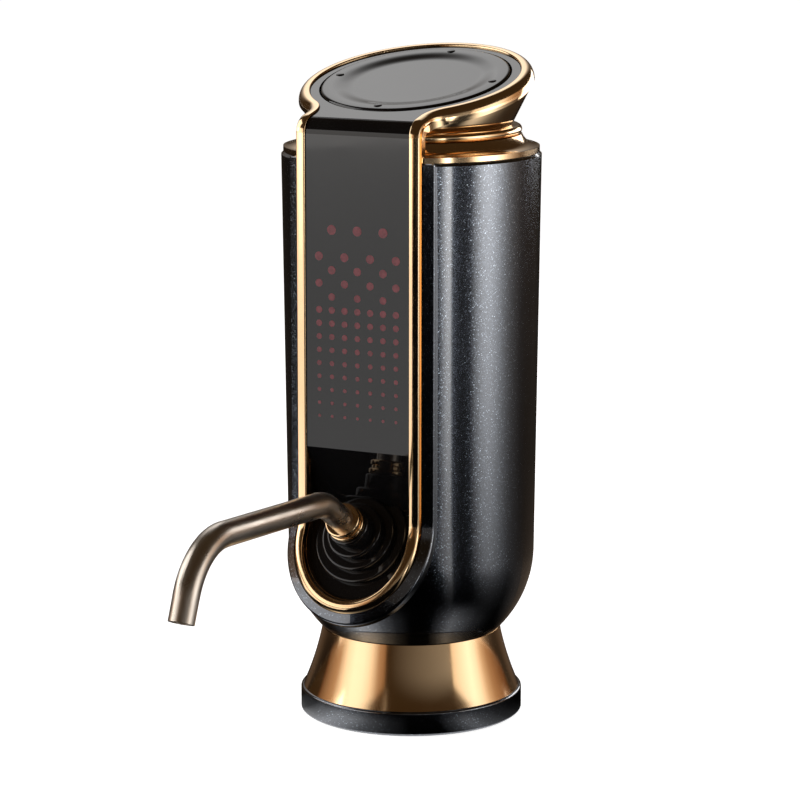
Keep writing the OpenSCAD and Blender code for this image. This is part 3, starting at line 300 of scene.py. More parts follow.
# Port for a dip tube and the screws that close the base, turned from stainless steel and tumbled smooth.
# A fine even grain is left, which softens the shine.
steel_warm = (0.68, 0.61, 0.53, 1)
steel_cool = (0.73, 0.66, 0.58, 1)
stainless, tree, shader = start_finish("stainless")
add_mottle(tree, shader, scale=80, first=steel_warm, second=steel_cool)
add_rub_marks(tree, shader, scale=160, low=0.27, high=0.34)
add_mould_grain(tree, shader, scale=3500, depth=0.01 * MM)
shader.inputs["Metallic"].default_value = 1
dress(stainless, "suction_port", "base_screws")

# Body shell, one deep-drawn and painted can with a bowl at its foot. A slot runs down the front, and its
# edge is rolled over into a sloping lip, which leans out and grows rounder at the chin.
dress(flake_paint, "body_shell")
lip_x = 17.55 * MM
lip_y = -27.7 * MM
lip_arc_z = 48.95 * MM
lip_top_z = 139.0 * MM
lip_chin_z = 51.44 * MM
lip_in = 0.95 * MM
lip_out = 1.6 * MM
lip_edge = 0.45 * MM
lip_foot_edge = 1.0 * MM
lip_deep = 3.2 * MM
lip_tilt = math.radians(26.6)
chin_lean = math.tan(math.radians(27))
chin_ease = 2.5 * MM
lip_round_z = 58 * MM
lip_round_over = 12 * MM
lip_inner_drop = 0.12 * MM
lip_inner_bevel = 0.1 * MM
lip_inner_top = 0.05 * MM
lip_steps = 12
u_steps = 32
knee_steps = 24
knee_span = 10 * MM


def front_point(x, y, z, knee_z):
    """A place on the front and its facing: straight above the knee, leaning out below it for the chin."""
    share = min(1, max(0, (knee_z - z + chin_ease) / (2 * chin_ease)))
    lean = share * share * chin_ease + max(0, knee_z - z - chin_ease)
    return Vector((x, y - lean * chin_lean, z)), Vector((0, -1, chin_lean * share)).normalized()


def u_side(x, y, arc_z, top_z, knee_z):
    """Half of a U seen from the front: from its lowest point round to one side and up to the top."""
    line = []
    for step in range(u_steps + 1):
        turn = math.radians(90 * step / u_steps)
        line.append(front_point(x * math.sin(turn), y, arc_z - abs(x) * math.cos(turn), knee_z))
    for step in range(1, knee_steps + 1):
        line.append(front_point(x, y, arc_z + knee_span * step / knee_steps, knee_z))
    line.append(front_point(x, y, top_z, knee_z))
    return line


def swept_bar(name, line, sections, closed):
    """A bar swept along a line of places and faces, with a section of across and depth at each place."""
    count = len(sections[0])
    points = []
    sides = []
    for index, (place, face) in enumerate(line):
        after = (index + 1) % len(line) if closed else min(index + 1, len(line) - 1)
        before = index - 1 if closed else max(index - 1, 0)
        outward = (line[after][0] - line[before][0]).cross(face).normalized()
        for corner, (across, deep) in enumerate(sections[index]):
            points.append(place + outward * across - face * deep)
            beside = (corner + 1) % count
            if after != index:
                sides.append((index * count + corner, index * count + beside,
                              after * count + beside, after * count + corner))
    if not closed:
        sides.append(tuple(range(count)))
        sides.append(tuple(range(len(points) - count, len(points))))
    mesh = bpy.data.meshes.new(name)
    mesh.from_pydata(points, [], sides)
    bar = bpy.data.objects.new(name, mesh)
    take_up(bar)
    bpy.ops.object.mode_set(mode="EDIT")
    bpy.ops.mesh.select_all(action="SELECT")
    bpy.ops.mesh.remove_doubles(threshold=weld_gap / 2)
    bpy.ops.mesh.normals_make_consistent(inside=False)
    bpy.ops.object.mode_set(mode="OBJECT")
    bpy.ops.object.shade_smooth_by_angle(angle=math.radians(50))
    return bar


def lip_section(place):
    """Across and depth of the lip's face: a slope with a tight outer edge, rounder at the chin."""
    low = min(1, max(0, (lip_round_z - place.z) / lip_round_over))
    edge = lip_edge + (lip_foot_edge - lip_edge) * low * low * (3 - 2 * low)
    slope = lip_out + lip_in - edge * (1 - math.sin(lip_tilt))
    drop = slope * math.tan(lip_tilt)
    section = [(-lip_in, lip_deep), (-lip_in, lip_inner_drop), (-lip_in + lip_inner_bevel, lip_inner_top)]
    for step in range(lip_steps + 1):
        turn = lip_tilt + (math.pi / 2 - lip_tilt) * step / lip_steps
        section.append((slope - lip_in + edge * (math.sin(turn) - math.sin(lip_tilt)),
                        drop + edge * (math.cos(lip_tilt) - math.cos(turn))))
    section.append((lip_out, lip_deep))
    return section


right_side = u_side(lip_x, lip_y, lip_arc_z, lip_top_z, lip_chin_z)
left_side = u_side(-lip_x, lip_y, lip_arc_z, lip_top_z, lip_chin_z)
line = left_side[:0:-1] + right_side
shell_lip = swept_bar("shell_lip", line, [lip_section(place) for place, face in line], False)
shell_lip.data.materials.append(flake_paint)
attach(shell_lip, "stand")

# Inner chassis with its posts and shelves, the bulkhead over it and their screws. Moulded in the same
# black plastic as the socket; nothing of them shows once the shell is on.
dress(black_plastic, "inner_chassis", "top_bulkhead")
dress(stainless, "chassis_screws", "head_screws")

# Battery: one lithium cell in a plain shrink sleeve, pushed into a plastic holder on the lower shelf.
# The sleeve is satin blue film with faint wrinkles.
wrap_blue = (0.03, 0.10, 0.26, 1)
wrap_light = (0.05, 0.14, 0.32, 1)
cell_wrap, tree, shader = start_finish("cell_wrap")
add_mottle(tree, shader, scale=140, first=wrap_blue, second=wrap_light)
add_rub_marks(tree, shader, scale=200, low=0.25, high=0.4)
add_mould_grain(tree, shader, scale=500, depth=0.06 * MM)
dress(cell_wrap, "battery_cell")
dress(black_plastic, "battery_holder")

# Gear pump: a turned steel cover and body closed by a rubber gasket and four screws, with a fixed pin and
# a lip seal on the shaft.
dress(stainless, "pump_cover", "pump_body", "pump_screws", "driven_pin")
dress(seal_rubber, "pump_gasket", "shaft_seal")

# The two pump gears, cut from brass bar, so that their faces carry fine tool marks. One sits on the motor's
# shaft and drives the other, which runs on the fixed pin.
brass_light = (0.72, 0.55, 0.24, 1)
brass_dark = (0.60, 0.43, 0.17, 1)
gear_brass, tree, shader = start_finish("gear_brass")
add_mottle(tree, shader, scale=260, first=brass_dark, second=brass_light)
add_rub_marks(tree, shader, scale=300, low=0.22, high=0.35)
add_mould_grain(tree, shader, scale=3200, depth=0.02 * MM)
shader.inputs["Metallic"].default_value = 1
dress(gear_brass, "drive_gear", "driven_gear")

# Motor: a drawn steel can with two magnets, a wound armature on a ground shaft and a plastic end cap that
# holds the brushes and the two solder tabs.
copper_lit = (0.62, 0.30, 0.14, 1)
copper_shaded = (0.30, 0.13, 0.06, 1)
copper_winding, tree, shader = start_finish("copper_winding")
place = tree.nodes.new("ShaderNodeTexCoord")
# The turns are drawn as bands of painted highlight and painted shade: lit and shaded copper in a wave.
turns = tree.nodes.new("ShaderNodeTexWave")
turns.bands_direction = "Z"
turns.inputs["Scale"].default_value = 900
turns.inputs["Distortion"].default_value = 1.5
turn_tone = tree.nodes.new("ShaderNodeValToRGB")
turn_tone.color_ramp.elements[0].color = copper_shaded
turn_tone.color_ramp.elements[1].color = copper_lit
tree.links.new(place.outputs["Object"], turns.inputs["Vector"])
tree.links.new(turns.outputs["Fac"], turn_tone.inputs["Fac"])
tree.links.new(turn_tone.outputs["Color"], shader.inputs["Base Color"])
add_rub_marks(tree, shader, scale=200, low=0.3, high=0.45)
shader.inputs["Metallic"].default_value = 0.9
magnet_grey = (0.055, 0.055, 0.058, 1)
chip_black = (0.020, 0.020, 0.022, 1)
board_chips, tree, shader = start_finish("board_chips")
add_mottle(tree, shader, scale=500, first=chip_black, second=magnet_grey)
add_rub_marks(tree, shader, scale=300, low=0.45, high=0.6)
add_mould_grain(tree, shader, scale=3000, depth=0.03 * MM)
dress(stainless, "motor_can", "motor_shaft")
dress(board_chips, "motor_magnets")
dress(copper_winding, "motor_armature")
dress(black_plastic, "motor_end_cap")

# Hoses from the bottle to the pump and from the pump to the spout, extruded in milky silicone and pushed
# on their barbs.
silicone_pale = (0.72, 0.73, 0.72, 1)
silicone_milk = (0.62, 0.64, 0.64, 1)
hose_silicone, tree, shader = start_finish("hose_silicone")
add_mottle(tree, shader, scale=160, first=silicone_milk, second=silicone_pale)
add_rub_marks(tree, shader, scale=200, low=0.35, high=0.5)
shader.inputs["Subsurface Weight"].default_value = 0.2
shader.inputs["Subsurface Radius"].default_value = (0.002, 0.002, 0.002)
dress(hose_silicone, "suction_hose", "outlet_hose")

# Circuit boards for the motor, the lights, the button and the charging inlet: glass-fibre sheet under
# green solder mask, in which the copper tracks show as lighter lines.
mask_green = (0.012, 0.075, 0.035, 1)
track_green = (0.030, 0.150, 0.065, 1)
circuit_board, tree, shader = start_finish("circuit_board")
place = tree.nodes.new("ShaderNodeTexCoord")
tracks = tree.nodes.new("ShaderNodeTexVoronoi")
tracks.distance = "MANHATTAN"
tracks.inputs["Scale"].default_value = 260
track_tone = tree.nodes.new("ShaderNodeValToRGB")
track_tone.color_ramp.elements[0].position = 0.42
track_tone.color_ramp.elements[0].color = mask_green
track_tone.color_ramp.elements[1].position = 0.5
track_tone.color_ramp.elements[1].color = track_green
tree.links.new(place.outputs["Object"], tracks.inputs["Vector"])
tree.links.new(tracks.outputs["Distance"], track_tone.inputs["Fac"])
tree.links.new(track_tone.outputs["Color"], shader.inputs["Base Color"])
add_rub_marks(tree, shader, scale=240, low=0.25, high=0.4)
dress(circuit_board, "main_board", "led_board", "button_board", "usb_board")
dress(board_chips, "board_parts", "tact_switch")

# Charging inlet, a folded steel shell with its tongue, which opens through the back of the body. It is
# soldered to a small board of its own.
dress(stainless, "usb_socket")

# Wires from the motor and the battery to the main board: stranded copper in soft red insulation, soldered
# at both ends.
wire_bright = (0.42, 0.025, 0.02, 1)
wire_dull = (0.30, 0.018, 0.015, 1)
wire_red, tree, shader = start_finish("wire_red")
add_mottle(tree, shader, scale=300, first=wire_dull, second=wire_bright)
add_rub_marks(tree, shader, scale=260, low=0.35, high=0.5)
dress(wire_red, "motor_leads", "battery_lead")

# Front panel and the niche floor under it: tinted acrylic with a polished black face, heat-formed in one
# sweep from the ring round the button over the bend and down the front into the niche.
panel_black = (0.006, 0.006, 0.007, 1)
panel_haze = (0.009, 0.009, 0.010, 1)
black_gloss, tree, shader = start_finish("black_gloss")
add_mottle(tree, shader, scale=45, first=panel_black, second=panel_haze)
add_rub_marks(tree, shader, scale=70, low=0.02, high=0.05)
dress(black_gloss, "face_panel", "niche_floor")

# Lights behind the panel: each chip shines through a dull red dot under the gloss. The dots stand in
# seven columns, large and scattered at the top, small and close at the bottom.
red_deep = (0.22, 0.030, 0.045, 1)
red_soft = (0.32, 0.050, 0.070, 1)
light_red, tree, shader = start_finish("light_red")
add_mottle(tree, shader, scale=900, first=red_deep, second=red_soft)
add_rub_marks(tree, shader, scale=70, low=0.03, high=0.06)
dress(light_red, "led_chips")
dot_columns = 7
dot_rows = 15
dot_pitch_x = 3.4 * MM
dot_pitch_z = 3.2 * MM
dot_low_z = 77.8 * MM
dot_face_y = -28.63 * MM
dot_depth = 0.06 * MM
dot_small = 0.40 * MM
dot_growth = 0.78 * MM
dot_sides = 20
dot_bevel = 0.02 * MM
thin_row = 9
sparse_row = 12


def join_to(piece, others):
    """Joins other objects to a piece and puts its place into its mesh."""
    bpy.ops.object.select_all(action="DESELECT")
    for other in others:
        other.select_set(True)
    piece.select_set(True)
    bpy.context.view_layer.objects.active = piece
    bpy.ops.object.join()
    bpy.ops.object.transform_apply(location=True, rotation=True, scale=True)


dots = []
for row in range(dot_rows):
    for column in range(dot_columns):
        if thin_row <= row < sparse_row and (row + column) % 2:
            continue
        if row >= sparse_row and (row + 2 * column) % 4:
            continue
        dot_x = (column - (dot_columns - 1) / 2) * dot_pitch_x
        bpy.ops.object.select_all(action="DESELECT")
        bpy.ops.mesh.primitive_cylinder_add(
            vertices=dot_sides, radius=dot_small + dot_growth * row / (dot_rows - 1), depth=dot_depth,
            location=(dot_x, dot_face_y + dot_depth / 2, dot_low_z + row * dot_pitch_z),
            rotation=(math.pi / 2, 0, 0))
        dots.append(bpy.context.object)
light_dots = dots[0]
light_dots.name = "light_dots"
join_to(light_dots, dots[1:])
bpy.ops.object.mode_set(mode="EDIT")
bpy.ops.mesh.select_mode(type="FACE")
bpy.ops.mesh.select_all(action="DESELECT")
bpy.ops.object.mode_set(mode="OBJECT")
for face in light_dots.data.polygons:
    face.select = face.normal.y < -0.9
bpy.ops.object.mode_set(mode="EDIT")
bpy.ops.mesh.bevel(offset=dot_bevel, segments=1)
bpy.ops.object.mode_set(mode="OBJECT")
light_dots.data.materials.append(light_red)
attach(light_dots, "stand")

# Gold frame: one bent and welded trim that runs round the head, over the bend, down both sides of the
# panel and round the niche, plated like the skirt. Its flat crest slopes off outwards on the rails and
# rolls over round the head and the niche.
dress(gold_trim, "gold_frame")
crest_in = 0.95 * MM
crest_edge = 0.35 * MM
crest_flat = 0.2 * MM
u_flat = -0.6 * MM
crest_deep = 1.9 * MM
rail_roll = 1.55 * MM
rail_flat = 0.35 * MM
rail_edge = 0.42 * MM
rail_slope = math.radians(20)
rim_roll = 2.1 * MM
rim_deep = 2.8 * MM
front_y = -29.1 * MM
rail_x = 14.65 * MM
u_arc_z = 48.8 * MM
frame_chin_z = 51.6 * MM
bend_y = -24.6 * MM
bend_z = 145.03 * MM
bend_r = 4.5 * MM
head_y = 2 * MM
head_z = 156.4 * MM
head_lean = math.radians(14.2)
head_up = Vector((0, -math.sin(head_lean), math.cos(head_lean)))
rim_r = 26.55 * MM
fillet_x = 23.2 * MM
fillet_y = -26.34 * MM
fillet_r = 8.55 * MM
u_round_z = 56 * MM
u_round_over = 16 * MM
crest_steps = 5
roll_steps = 12
bend_steps = 16
fillet_steps = 16
rim_steps = 72


def on_head(u, v, h):
    """A place on the tilted head, from its own plane to the shared frame."""
    return Vector((u, head_y + v * math.cos(head_lean), head_z + v * math.sin(head_lean))) + head_up * h


def frame_section(share, low):
    """Across and depth of the frame's face, fuller by a share of the rim and rounder by a share of the U."""
    flat = crest_flat + (u_flat - crest_flat) * low
    roll = rail_roll + (rim_roll - rail_roll) * share
    deep = crest_deep + (rim_deep - crest_deep) * share
    section = [(-crest_in, crest_deep)]
    for step in range(crest_steps + 1):
        turn = math.pi / 2 * step / crest_steps
        section.append((-crest_in + crest_edge * (1 - math.cos(turn)), crest_edge * (1 - math.sin(turn))))
    slope_end = rail_roll - rail_edge * (1 - math.sin(rail_slope))
    drop = (slope_end - rail_flat) * math.tan(rail_slope)
    straight = (1 - share) * (1 - low)
    for step in range(roll_steps + 1):
        turn = math.pi / 2 * step / roll_steps
        across = flat + (roll - flat) * math.sin(turn)
        down = deep * (1 - math.cos(turn))
        rail_across = rail_flat
        rail_down = 0
        if step:
            turn = rail_slope + (math.pi / 2 - rail_slope) * (step - 1) / (roll_steps - 1)
            rail_across = slope_end + rail_edge * (math.sin(turn) - math.sin(rail_slope))
            rail_down = drop + rail_edge * (math.cos(rail_slope) - math.cos(turn))
        section.append((across + (rail_across - across) * straight, down + (rail_down - down) * straight))
    return section


def frame_side(side):
    """Half of the frame's line, from the foot of the U to the back of the rim, with its sections."""
    line = u_side(side * rail_x, front_y, u_arc_z, bend_z, frame_chin_z)
    sections = []
    for place, face in line:
        sections.append(frame_section(0, min(1, max(0, (u_round_z - place.z) / u_round_over))))
    for step in range(1, bend_steps + 1):
        turn = math.pi - (math.pi / 2 - head_lean) * step / bend_steps
        face = Vector((0, math.cos(turn), math.sin(turn)))
        line.append((Vector((side * rail_x, bend_y, bend_z)) + face * bend_r, face))
        sections.append(frame_section(step / (bend_steps + fillet_steps), 0))
    meet = math.atan2(-fillet_y, -fillet_x)
    for step in range(fillet_steps + 1):
        turn = math.pi + (meet - math.pi) * step / fillet_steps
        fillet_u = side * (fillet_x + fillet_r * math.cos(turn))
        line.append((on_head(fillet_u, fillet_y + fillet_r * math.sin(turn), 0), head_up))
        sections.append(frame_section((bend_steps + step) / (bend_steps + fillet_steps), 0))
    start = math.atan2(fillet_y, fillet_x)
    for step in range(1, rim_steps + 1):
        turn = start + (math.pi / 2 - start) * step / rim_steps
        line.append((on_head(side * rim_r * math.cos(turn), rim_r * math.sin(turn), 0), head_up))
        sections.append(frame_section(1, 0))
    return line, sections


right_side, right_sections = frame_side(1)
left_side, left_sections = frame_side(-1)
line = right_side + left_side[-2:0:-1]
sections = right_sections + left_sections[-2:0:-1]
frame_bead = swept_bar("frame_bead", line, sections, True)
frame_bead.data.materials.append(gold_trim)
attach(frame_bead, "stand")

# Stepped collar on the body's top edge and the leaning cup that carries the head. Both are pressed and
# plated like the skirt; the cup's wall runs straight from the round neck to the tilted rim.
dress(gold_trim, "top_collar", "head_cup")


def merged_copy(node, name):
    """A copy of a node with its loose triangles joined, so that its round faces can be shaded smooth."""
    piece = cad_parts[node].copy()
    piece.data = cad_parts[node].data.copy()
    piece.name = name
    for key in list(piece.keys()):
        del piece[key]
    piece.parent = None
    take_up(piece)
    bpy.ops.mesh.customdata_custom_splitnormals_clear()
    bpy.ops.object.mode_set(mode="EDIT")
    bpy.ops.mesh.select_all(action="SELECT")
    bpy.ops.mesh.remove_doubles(threshold=5 * weld_gap)
    bpy.ops.object.mode_set(mode="OBJECT")
    bpy.ops.object.shade_smooth_by_angle(angle=math.radians(30))
    return piece


head_shell = merged_copy("head_cup", "head_shell")
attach(head_shell, "stand")
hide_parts("head_cup")

# Push button on its guide: a gloss black cap with a soft, shallow dish and four small bumps, moulded with
# its stem. A wire spring under it is squeezed as the cap goes down and pushes it back up. The guide and the
# switch stay hidden.
button_r = 23.1 * MM
button_edge = 0.8 * MM
button_top = -0.1 * MM
button_low = -2.6 * MM
button_bevel = 0.3 * MM
stem_r = 4 * MM
stem_low = -11 * MM
dish_out = 20.6 * MM
dish_in = 15.2 * MM
dish_depth = 0.7 * MM
dish_sag = 0.05 * MM
dish_steps = 24
bump_at = 20.5 * MM
bump_r = 1.0 * MM
bump_h = 0.28 * MM
head_centre = on_head(0, 0, 0)
profile = [(0, stem_low), (stem_r, stem_low), (stem_r, button_low), (button_r - button_bevel, button_low)]
profile += round_edge(button_r, button_top, button_edge, steps=8)
for step in range(dish_steps + 1):
    share = step / dish_steps
    drop = (1 - math.cos(math.pi * share)) / 2
    profile.append((dish_out + (dish_in - dish_out) * share, button_top - dish_depth * drop))
for share in (0.75, 0.5, 0.25, 0):
    profile.append((dish_in * share, button_top - dish_depth - dish_sag * (1 - share)))
button_cap = spun("button_cap", profile, head_centre, across_x, head_up, steps=128)
bumps = []
for quarter in range(4):
    turn = math.pi / 2 * quarter
    place = on_head(bump_at * math.cos(turn), bump_at * math.sin(turn), button_top)
    bpy.ops.object.select_all(action="DESELECT")
    bpy.ops.mesh.primitive_uv_sphere_add(segments=24, ring_count=12, radius=1, location=place,
                                         rotation=(head_lean, 0, 0), scale=(bump_r, bump_r, bump_h))
    bpy.ops.object.shade_smooth()
    bumps.append(bpy.context.object)
join_to(button_cap, bumps)
button_cap.data.materials.append(black_gloss)
dress(black_gloss, "push_button")
dress(black_plastic, "button_guide")
dress(stainless, "button_spring")
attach(button_cap, "button")
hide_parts("push_button")
return_spring = merged_copy("button_spring", "return_spring")
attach(return_spring, "stand")
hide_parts("button_spring")
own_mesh(return_spring)

# Spout: a turned gloss black boss that steps up from the niche floor, a gold gland nut with two rounded
# rings, and a bent steel tube that turns with the nut in the boss on a rubber ring.
boss_centre = Vector((0, -26.4 * MM, 48.4 * MM))
boss_lean = math.radians(32)
boss_out = Vector((0, -math.cos(boss_lean), math.sin(boss_lean)))
boss_bore = 3.06 * MM
boss_foot = -0.2 * MM
boss_steps = ((11.8 * MM, 1.3 * MM), (9.3 * MM, 3.1 * MM), (7.0 * MM, 5.4 * MM), (5.1 * MM, 9.0 * MM))
step_edge = 0.6 * MM
profile = [(boss_bore, boss_foot)]
low = boss_foot
for radius, top in boss_steps:
    profile.append((radius, low))
    profile += round_edge(radius, top, step_edge, steps=4)
    low = top
profile += [(boss_bore, low), (boss_bore, boss_foot)]
spout_boss = spun("spout_boss", profile, boss_centre, across_x, boss_out, steps=96)
spout_boss.data.materials.append(black_gloss)
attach(spout_boss, "stand")
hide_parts("spout_fitting")
dress(black_gloss, "spout_fitting")
dress(black_plastic, "spout_elbow")
nut_bore = 3.02 * MM
nut_low = 9.1 * MM
nut_neck_r = 3.95 * MM
nut_rings = ((4.55 * MM, 0.0, 1.35 * MM), (4.35 * MM, 2.0 * MM, 3.4 * MM))
ring_edge = 0.45 * MM
nut_steps = 12
profile = [(nut_bore, nut_low)]
for radius, ring_low, ring_top in nut_rings:
    profile.append((nut_neck_r, nut_low + ring_low))
    for step in range(nut_steps + 1):
        turn = math.radians(-90 + 180 * step / nut_steps)
        middle = ring_low + ring_edge if turn < 0 else ring_top - ring_edge
        profile.append((radius - ring_edge + ring_edge * math.cos(turn),
                        nut_low + middle + ring_edge * math.sin(turn)))
    profile.append((nut_neck_r, nut_low + ring_top))
profile += [(nut_bore, nut_low + ring_top), (nut_bore, nut_low)]
gland_nut = spun("gland_nut", profile, boss_centre, across_x, boss_out, steps=64)
gland_nut.data.materials.append(gold_trim)
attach(gland_nut, "spout")
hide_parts("spout_nut")
dress(gold_trim, "spout_nut")
dress(stainless, "spout_tube")
dress(seal_rubber, "spout_o_ring")

# Studio floor: matt white paper that fills the picture to its top. The camera and mirrors see it white, and
# it keeps a soft shadow under the pourer.
floor_white = (0.9, 0.9, 0.9, 1)
floor_glow = 0.92
floor_size = 16
bpy.ops.object.select_all(action="DESELECT")
bpy.ops.mesh.primitive_plane_add(size=floor_size, location=(0, 0, 0))
floor = bpy.context.object
floor.name = "floor"
floor_paper, tree, shader = start_finish("floor_paper")
tree.nodes.remove(shader)
paper = tree.nodes.new("ShaderNodeBsdfDiffuse")
paper.inputs["Color"].default_value = floor_white
glow = tree.nodes.new("ShaderNodeEmission")
glow.inputs["Color"].default_value = (1, 1, 1, 1)
rays = tree.nodes.new("ShaderNodeLightPath")
seen = tree.nodes.new("ShaderNodeMath")
seen.operation = "MAXIMUM"
seen_through = tree.nodes.new("ShaderNodeMath")
seen_through.operation = "MAXIMUM"
level = tree.nodes.new("ShaderNodeMath")
level.operation = "MULTIPLY"
level.inputs[1].default_value = floor_glow
both = tree.nodes.new("ShaderNodeAddShader")
tree.links.new(rays.outputs["Is Camera Ray"], seen.inputs[0])
tree.links.new(rays.outputs["Is Glossy Ray"], seen.inputs[1])
tree.links.new(seen.outputs["Value"], seen_through.inputs[0])
tree.links.new(rays.outputs["Is Transmission Ray"], seen_through.inputs[1])
tree.links.new(seen_through.outputs["Value"], level.inputs[0])
tree.links.new(level.outputs["Value"], glow.inputs["Strength"])
tree.links.new(paper.outputs["BSDF"], both.inputs[0])
tree.links.new(glow.outputs["Emission"], both.inputs[1])
tree.links.new(both.outputs["Shader"], tree.nodes["Material Output"].inputs["Surface"])
floor.data.materials.append(floor_paper)

# Black cloth on the floor, which only mirrors see: it paints dark reflections, and covers all but a wedge of
# white at the front left. Painted glow on it, no lamp light, lies in strips at the right, which draw the
# painted reflection bands on the body, in two patches close to the foot for the skirt and the lip, and as a
# dim dusk behind.
cloth_far = 7.0
cloth_z = 0.6 * MM
wedge_from = -76
wedge_to = -14
ring_far = 0.10
cloth_near = 0.1 * MM
cloth_steps = 64
reach_span = 2.0
cloth_colour = (0.004, 0.004, 0.004, 1)
# Levels of the painted glow on the cloth, which mirrors show as painted reflections: strips, patches and
# dusk.
painted_strip_peak = 4.3
strip_bearings = ((47, 0), (51.5, 0.03), (55, 0.50), (58, 1.0), (61, 0.97), (62.2, 0.05), (67, 0.01),
                  (79, 0.02), (82, 0.16), (86, 0.40), (91, 0.68), (97, 0.78), (102, 0.70), (107, 0.52),
                  (113, 0.32), (120, 0.18), (127, 0.10), (140, 0.03), (158, 0.015), (172, 0.01), (180, 0))
strip_reach = ((0.045, 0.0), (0.07, 0.015), (0.10, 0.045), (0.15, 0.12), (0.20, 0.20), (0.26, 0.28),
               (0.44, 0.50), (0.68, 0.69), (1.15, 1.0))
painted_patch_peak = 1.3
patch_bearings = ((-75, 0.02), (-55, 0.08), (-40, 0.5), (-27, 1.0), (-14, 0.75), (-2, 0.25), (12, 0.05),
                  (25, 0), (45, 0), (54, 0.1), (65, 0.38), (76, 0.18), (90, 0.05), (105, 0.01), (120, 0))
patch_reach = ((0.025, 1.0), (0.040, 0.9), (0.050, 0.25), (0.058, 0))
painted_dusk_peak = 0.20
dusk_bearings = ((-90, 1.0), (-76, 1.0), (-75, 0), (120, 0), (138, 0.5), (155, 1.0), (270, 1.0))
dusk_reach = ((0.04, 0.0), (0.06, 0.7), (0.10, 1.0), (0.14, 0.8), (0.20, 0.35), (0.32, 0.18), (1.0, 0.15))
tint_bearings = ((-90, 0.5), (-76, 0.5), (-75, 1.0), (112, 1.0), (150, 0.5), (270, 0.5))
tint_warmth = 0.45


def add_ramp(tree, value, stops, warmth=0):
    """Levels of light along a value from 0 to 1, the low ones warmer by a share."""
    ramp = tree.nodes.new("ShaderNodeValToRGB")
    elements = ramp.color_ramp.elements
    while len(elements) < len(stops):
        elements.new(0.5)
    for element, (share, level) in zip(elements, stops):
        element.position = share
        element.color = (level, level ** (1 + warmth), level ** (1 + 2 * warmth), 1)
    tree.links.new(value, ramp.inputs["Fac"])
    return ramp.outputs["Color"]


def by_bearing(levels):
    """Levels by bearing as stops of a ramp that runs once round from the left."""
    return [((bearing + 90) / 360, level) for bearing, level in levels]


painted_glow_cloth, tree, shader = start_finish("painted_glow_cloth")
shader.inputs["Base Color"].default_value = cloth_colour
shader.inputs["Roughness"].default_value = 1
shader.inputs["Specular IOR Level"].default_value = 0
place = tree.nodes.new("ShaderNodeTexCoord")
round_axis = tree.nodes.new("ShaderNodeTexGradient")
round_axis.gradient_type = "RADIAL"
tree.links.new(place.outputs["Object"], round_axis.inputs["Vector"])
reach = tree.nodes.new("ShaderNodeVectorMath")
reach.operation = "LENGTH"
tree.links.new(place.outputs["Object"], reach.inputs[0])
near_share = tree.nodes.new("ShaderNodeMath")
near_share.operation = "DIVIDE"
near_share.inputs[1].default_value = reach_span
tree.links.new(reach.outputs["Value"], near_share.inputs[0])


def painted_glow_patch(tree, peak, bearings, distances):
    """Painted glow on the cloth, which is no lamp: a level by bearing times a level by distance."""
    reach_stops = [(distance / reach_span, level) for distance, level in distances]
    level = tree.nodes.new("ShaderNodeMath")
    level.operation = "MULTIPLY"
    tree.links.new(add_ramp(tree, round_axis.outputs["Fac"], by_bearing(bearings)), level.inputs[0])
    tree.links.new(add_ramp(tree, near_share.outputs["Value"], reach_stops), level.inputs[1])
    lit = tree.nodes.new("ShaderNodeMath")
    lit.operation = "MULTIPLY"
    lit.inputs[1].default_value = peak
    tree.links.new(level.outputs["Value"], lit.inputs[0])
    return lit.outputs["Value"]


# The cloth's painted glow: strips, two patches close to the foot and a dim dusk, added together.
cloth_glow = painted_glow_patch(tree, painted_strip_peak, strip_bearings, strip_reach)
for light in (painted_glow_patch(tree, painted_patch_peak, patch_bearings, patch_reach),
              painted_glow_patch(tree, painted_dusk_peak, dusk_bearings, dusk_reach)):
    both = tree.nodes.new("ShaderNodeMath")
    both.operation = "ADD"
    tree.links.new(cloth_glow, both.inputs[0])
    tree.links.new(light, both.inputs[1])
    cloth_glow = both.outputs["Value"]
# Colour of the painted glow, warmer on some bearings.
cloth_tint = add_ramp(tree, round_axis.outputs["Fac"], by_bearing(tint_bearings), tint_warmth)
tree.links.new(cloth_tint, shader.inputs["Emission Color"])
tree.links.new(cloth_glow, shader.inputs["Emission Strength"])


def lay_cloth(name, first, last, near, far):
    """A flat sector of cloth between two bearings, laid from the higher bearing down to the lower."""
    turn = math.radians(first)
    edge = bpy.data.meshes.new(name)
    edge.from_pydata([(near * math.sin(turn), -near * math.cos(turn), cloth_z),
                      (far * math.sin(turn), -far * math.cos(turn), cloth_z)], [(0, 1)], [])
    cloth = bpy.data.objects.new(name, edge)
    take_up(cloth)
    bpy.ops.object.mode_set(mode="EDIT")
    bpy.ops.mesh.select_all(action="SELECT")
    bpy.ops.mesh.spin(steps=cloth_steps, angle=math.radians(first - last), center=(0, 0, cloth_z),
                      axis=along_z)
    bpy.ops.object.mode_set(mode="OBJECT")
    cloth.data.materials.append(painted_glow_cloth)
    cloth.visible_camera = False
    cloth.visible_diffuse = False
    cloth.visible_shadow = False
    cloth.visible_transmission = False


# The cloth of painted reflections: a wide sector, and a ring that covers the white wedge near the foot.
lay_cloth("painted_reflection_cloth", wedge_from + 360, wedge_to, cloth_near, cloth_far)
lay_cloth("painted_reflection_ring", wedge_to, wedge_from, cloth_near, ring_far)

# Studio light in a dim, warm room: wide softboxes at the front left and on the right, a dim one between
# them, a small one close on the left, one low behind and one high behind on the left. A soft lamp from
# behind on the left, which mirrors do not see, lays the shadow.
room_warm = (1, 0.62, 0.30, 1)
room_level = 0.04
world = bpy.data.worlds.new("studio")
bpy.context.scene.world = world
world.use_nodes = True
world.node_tree.nodes["Background"].inputs["Color"].default_value = room_warm
world.node_tree.nodes["Background"].inputs["Strength"].default_value = room_level


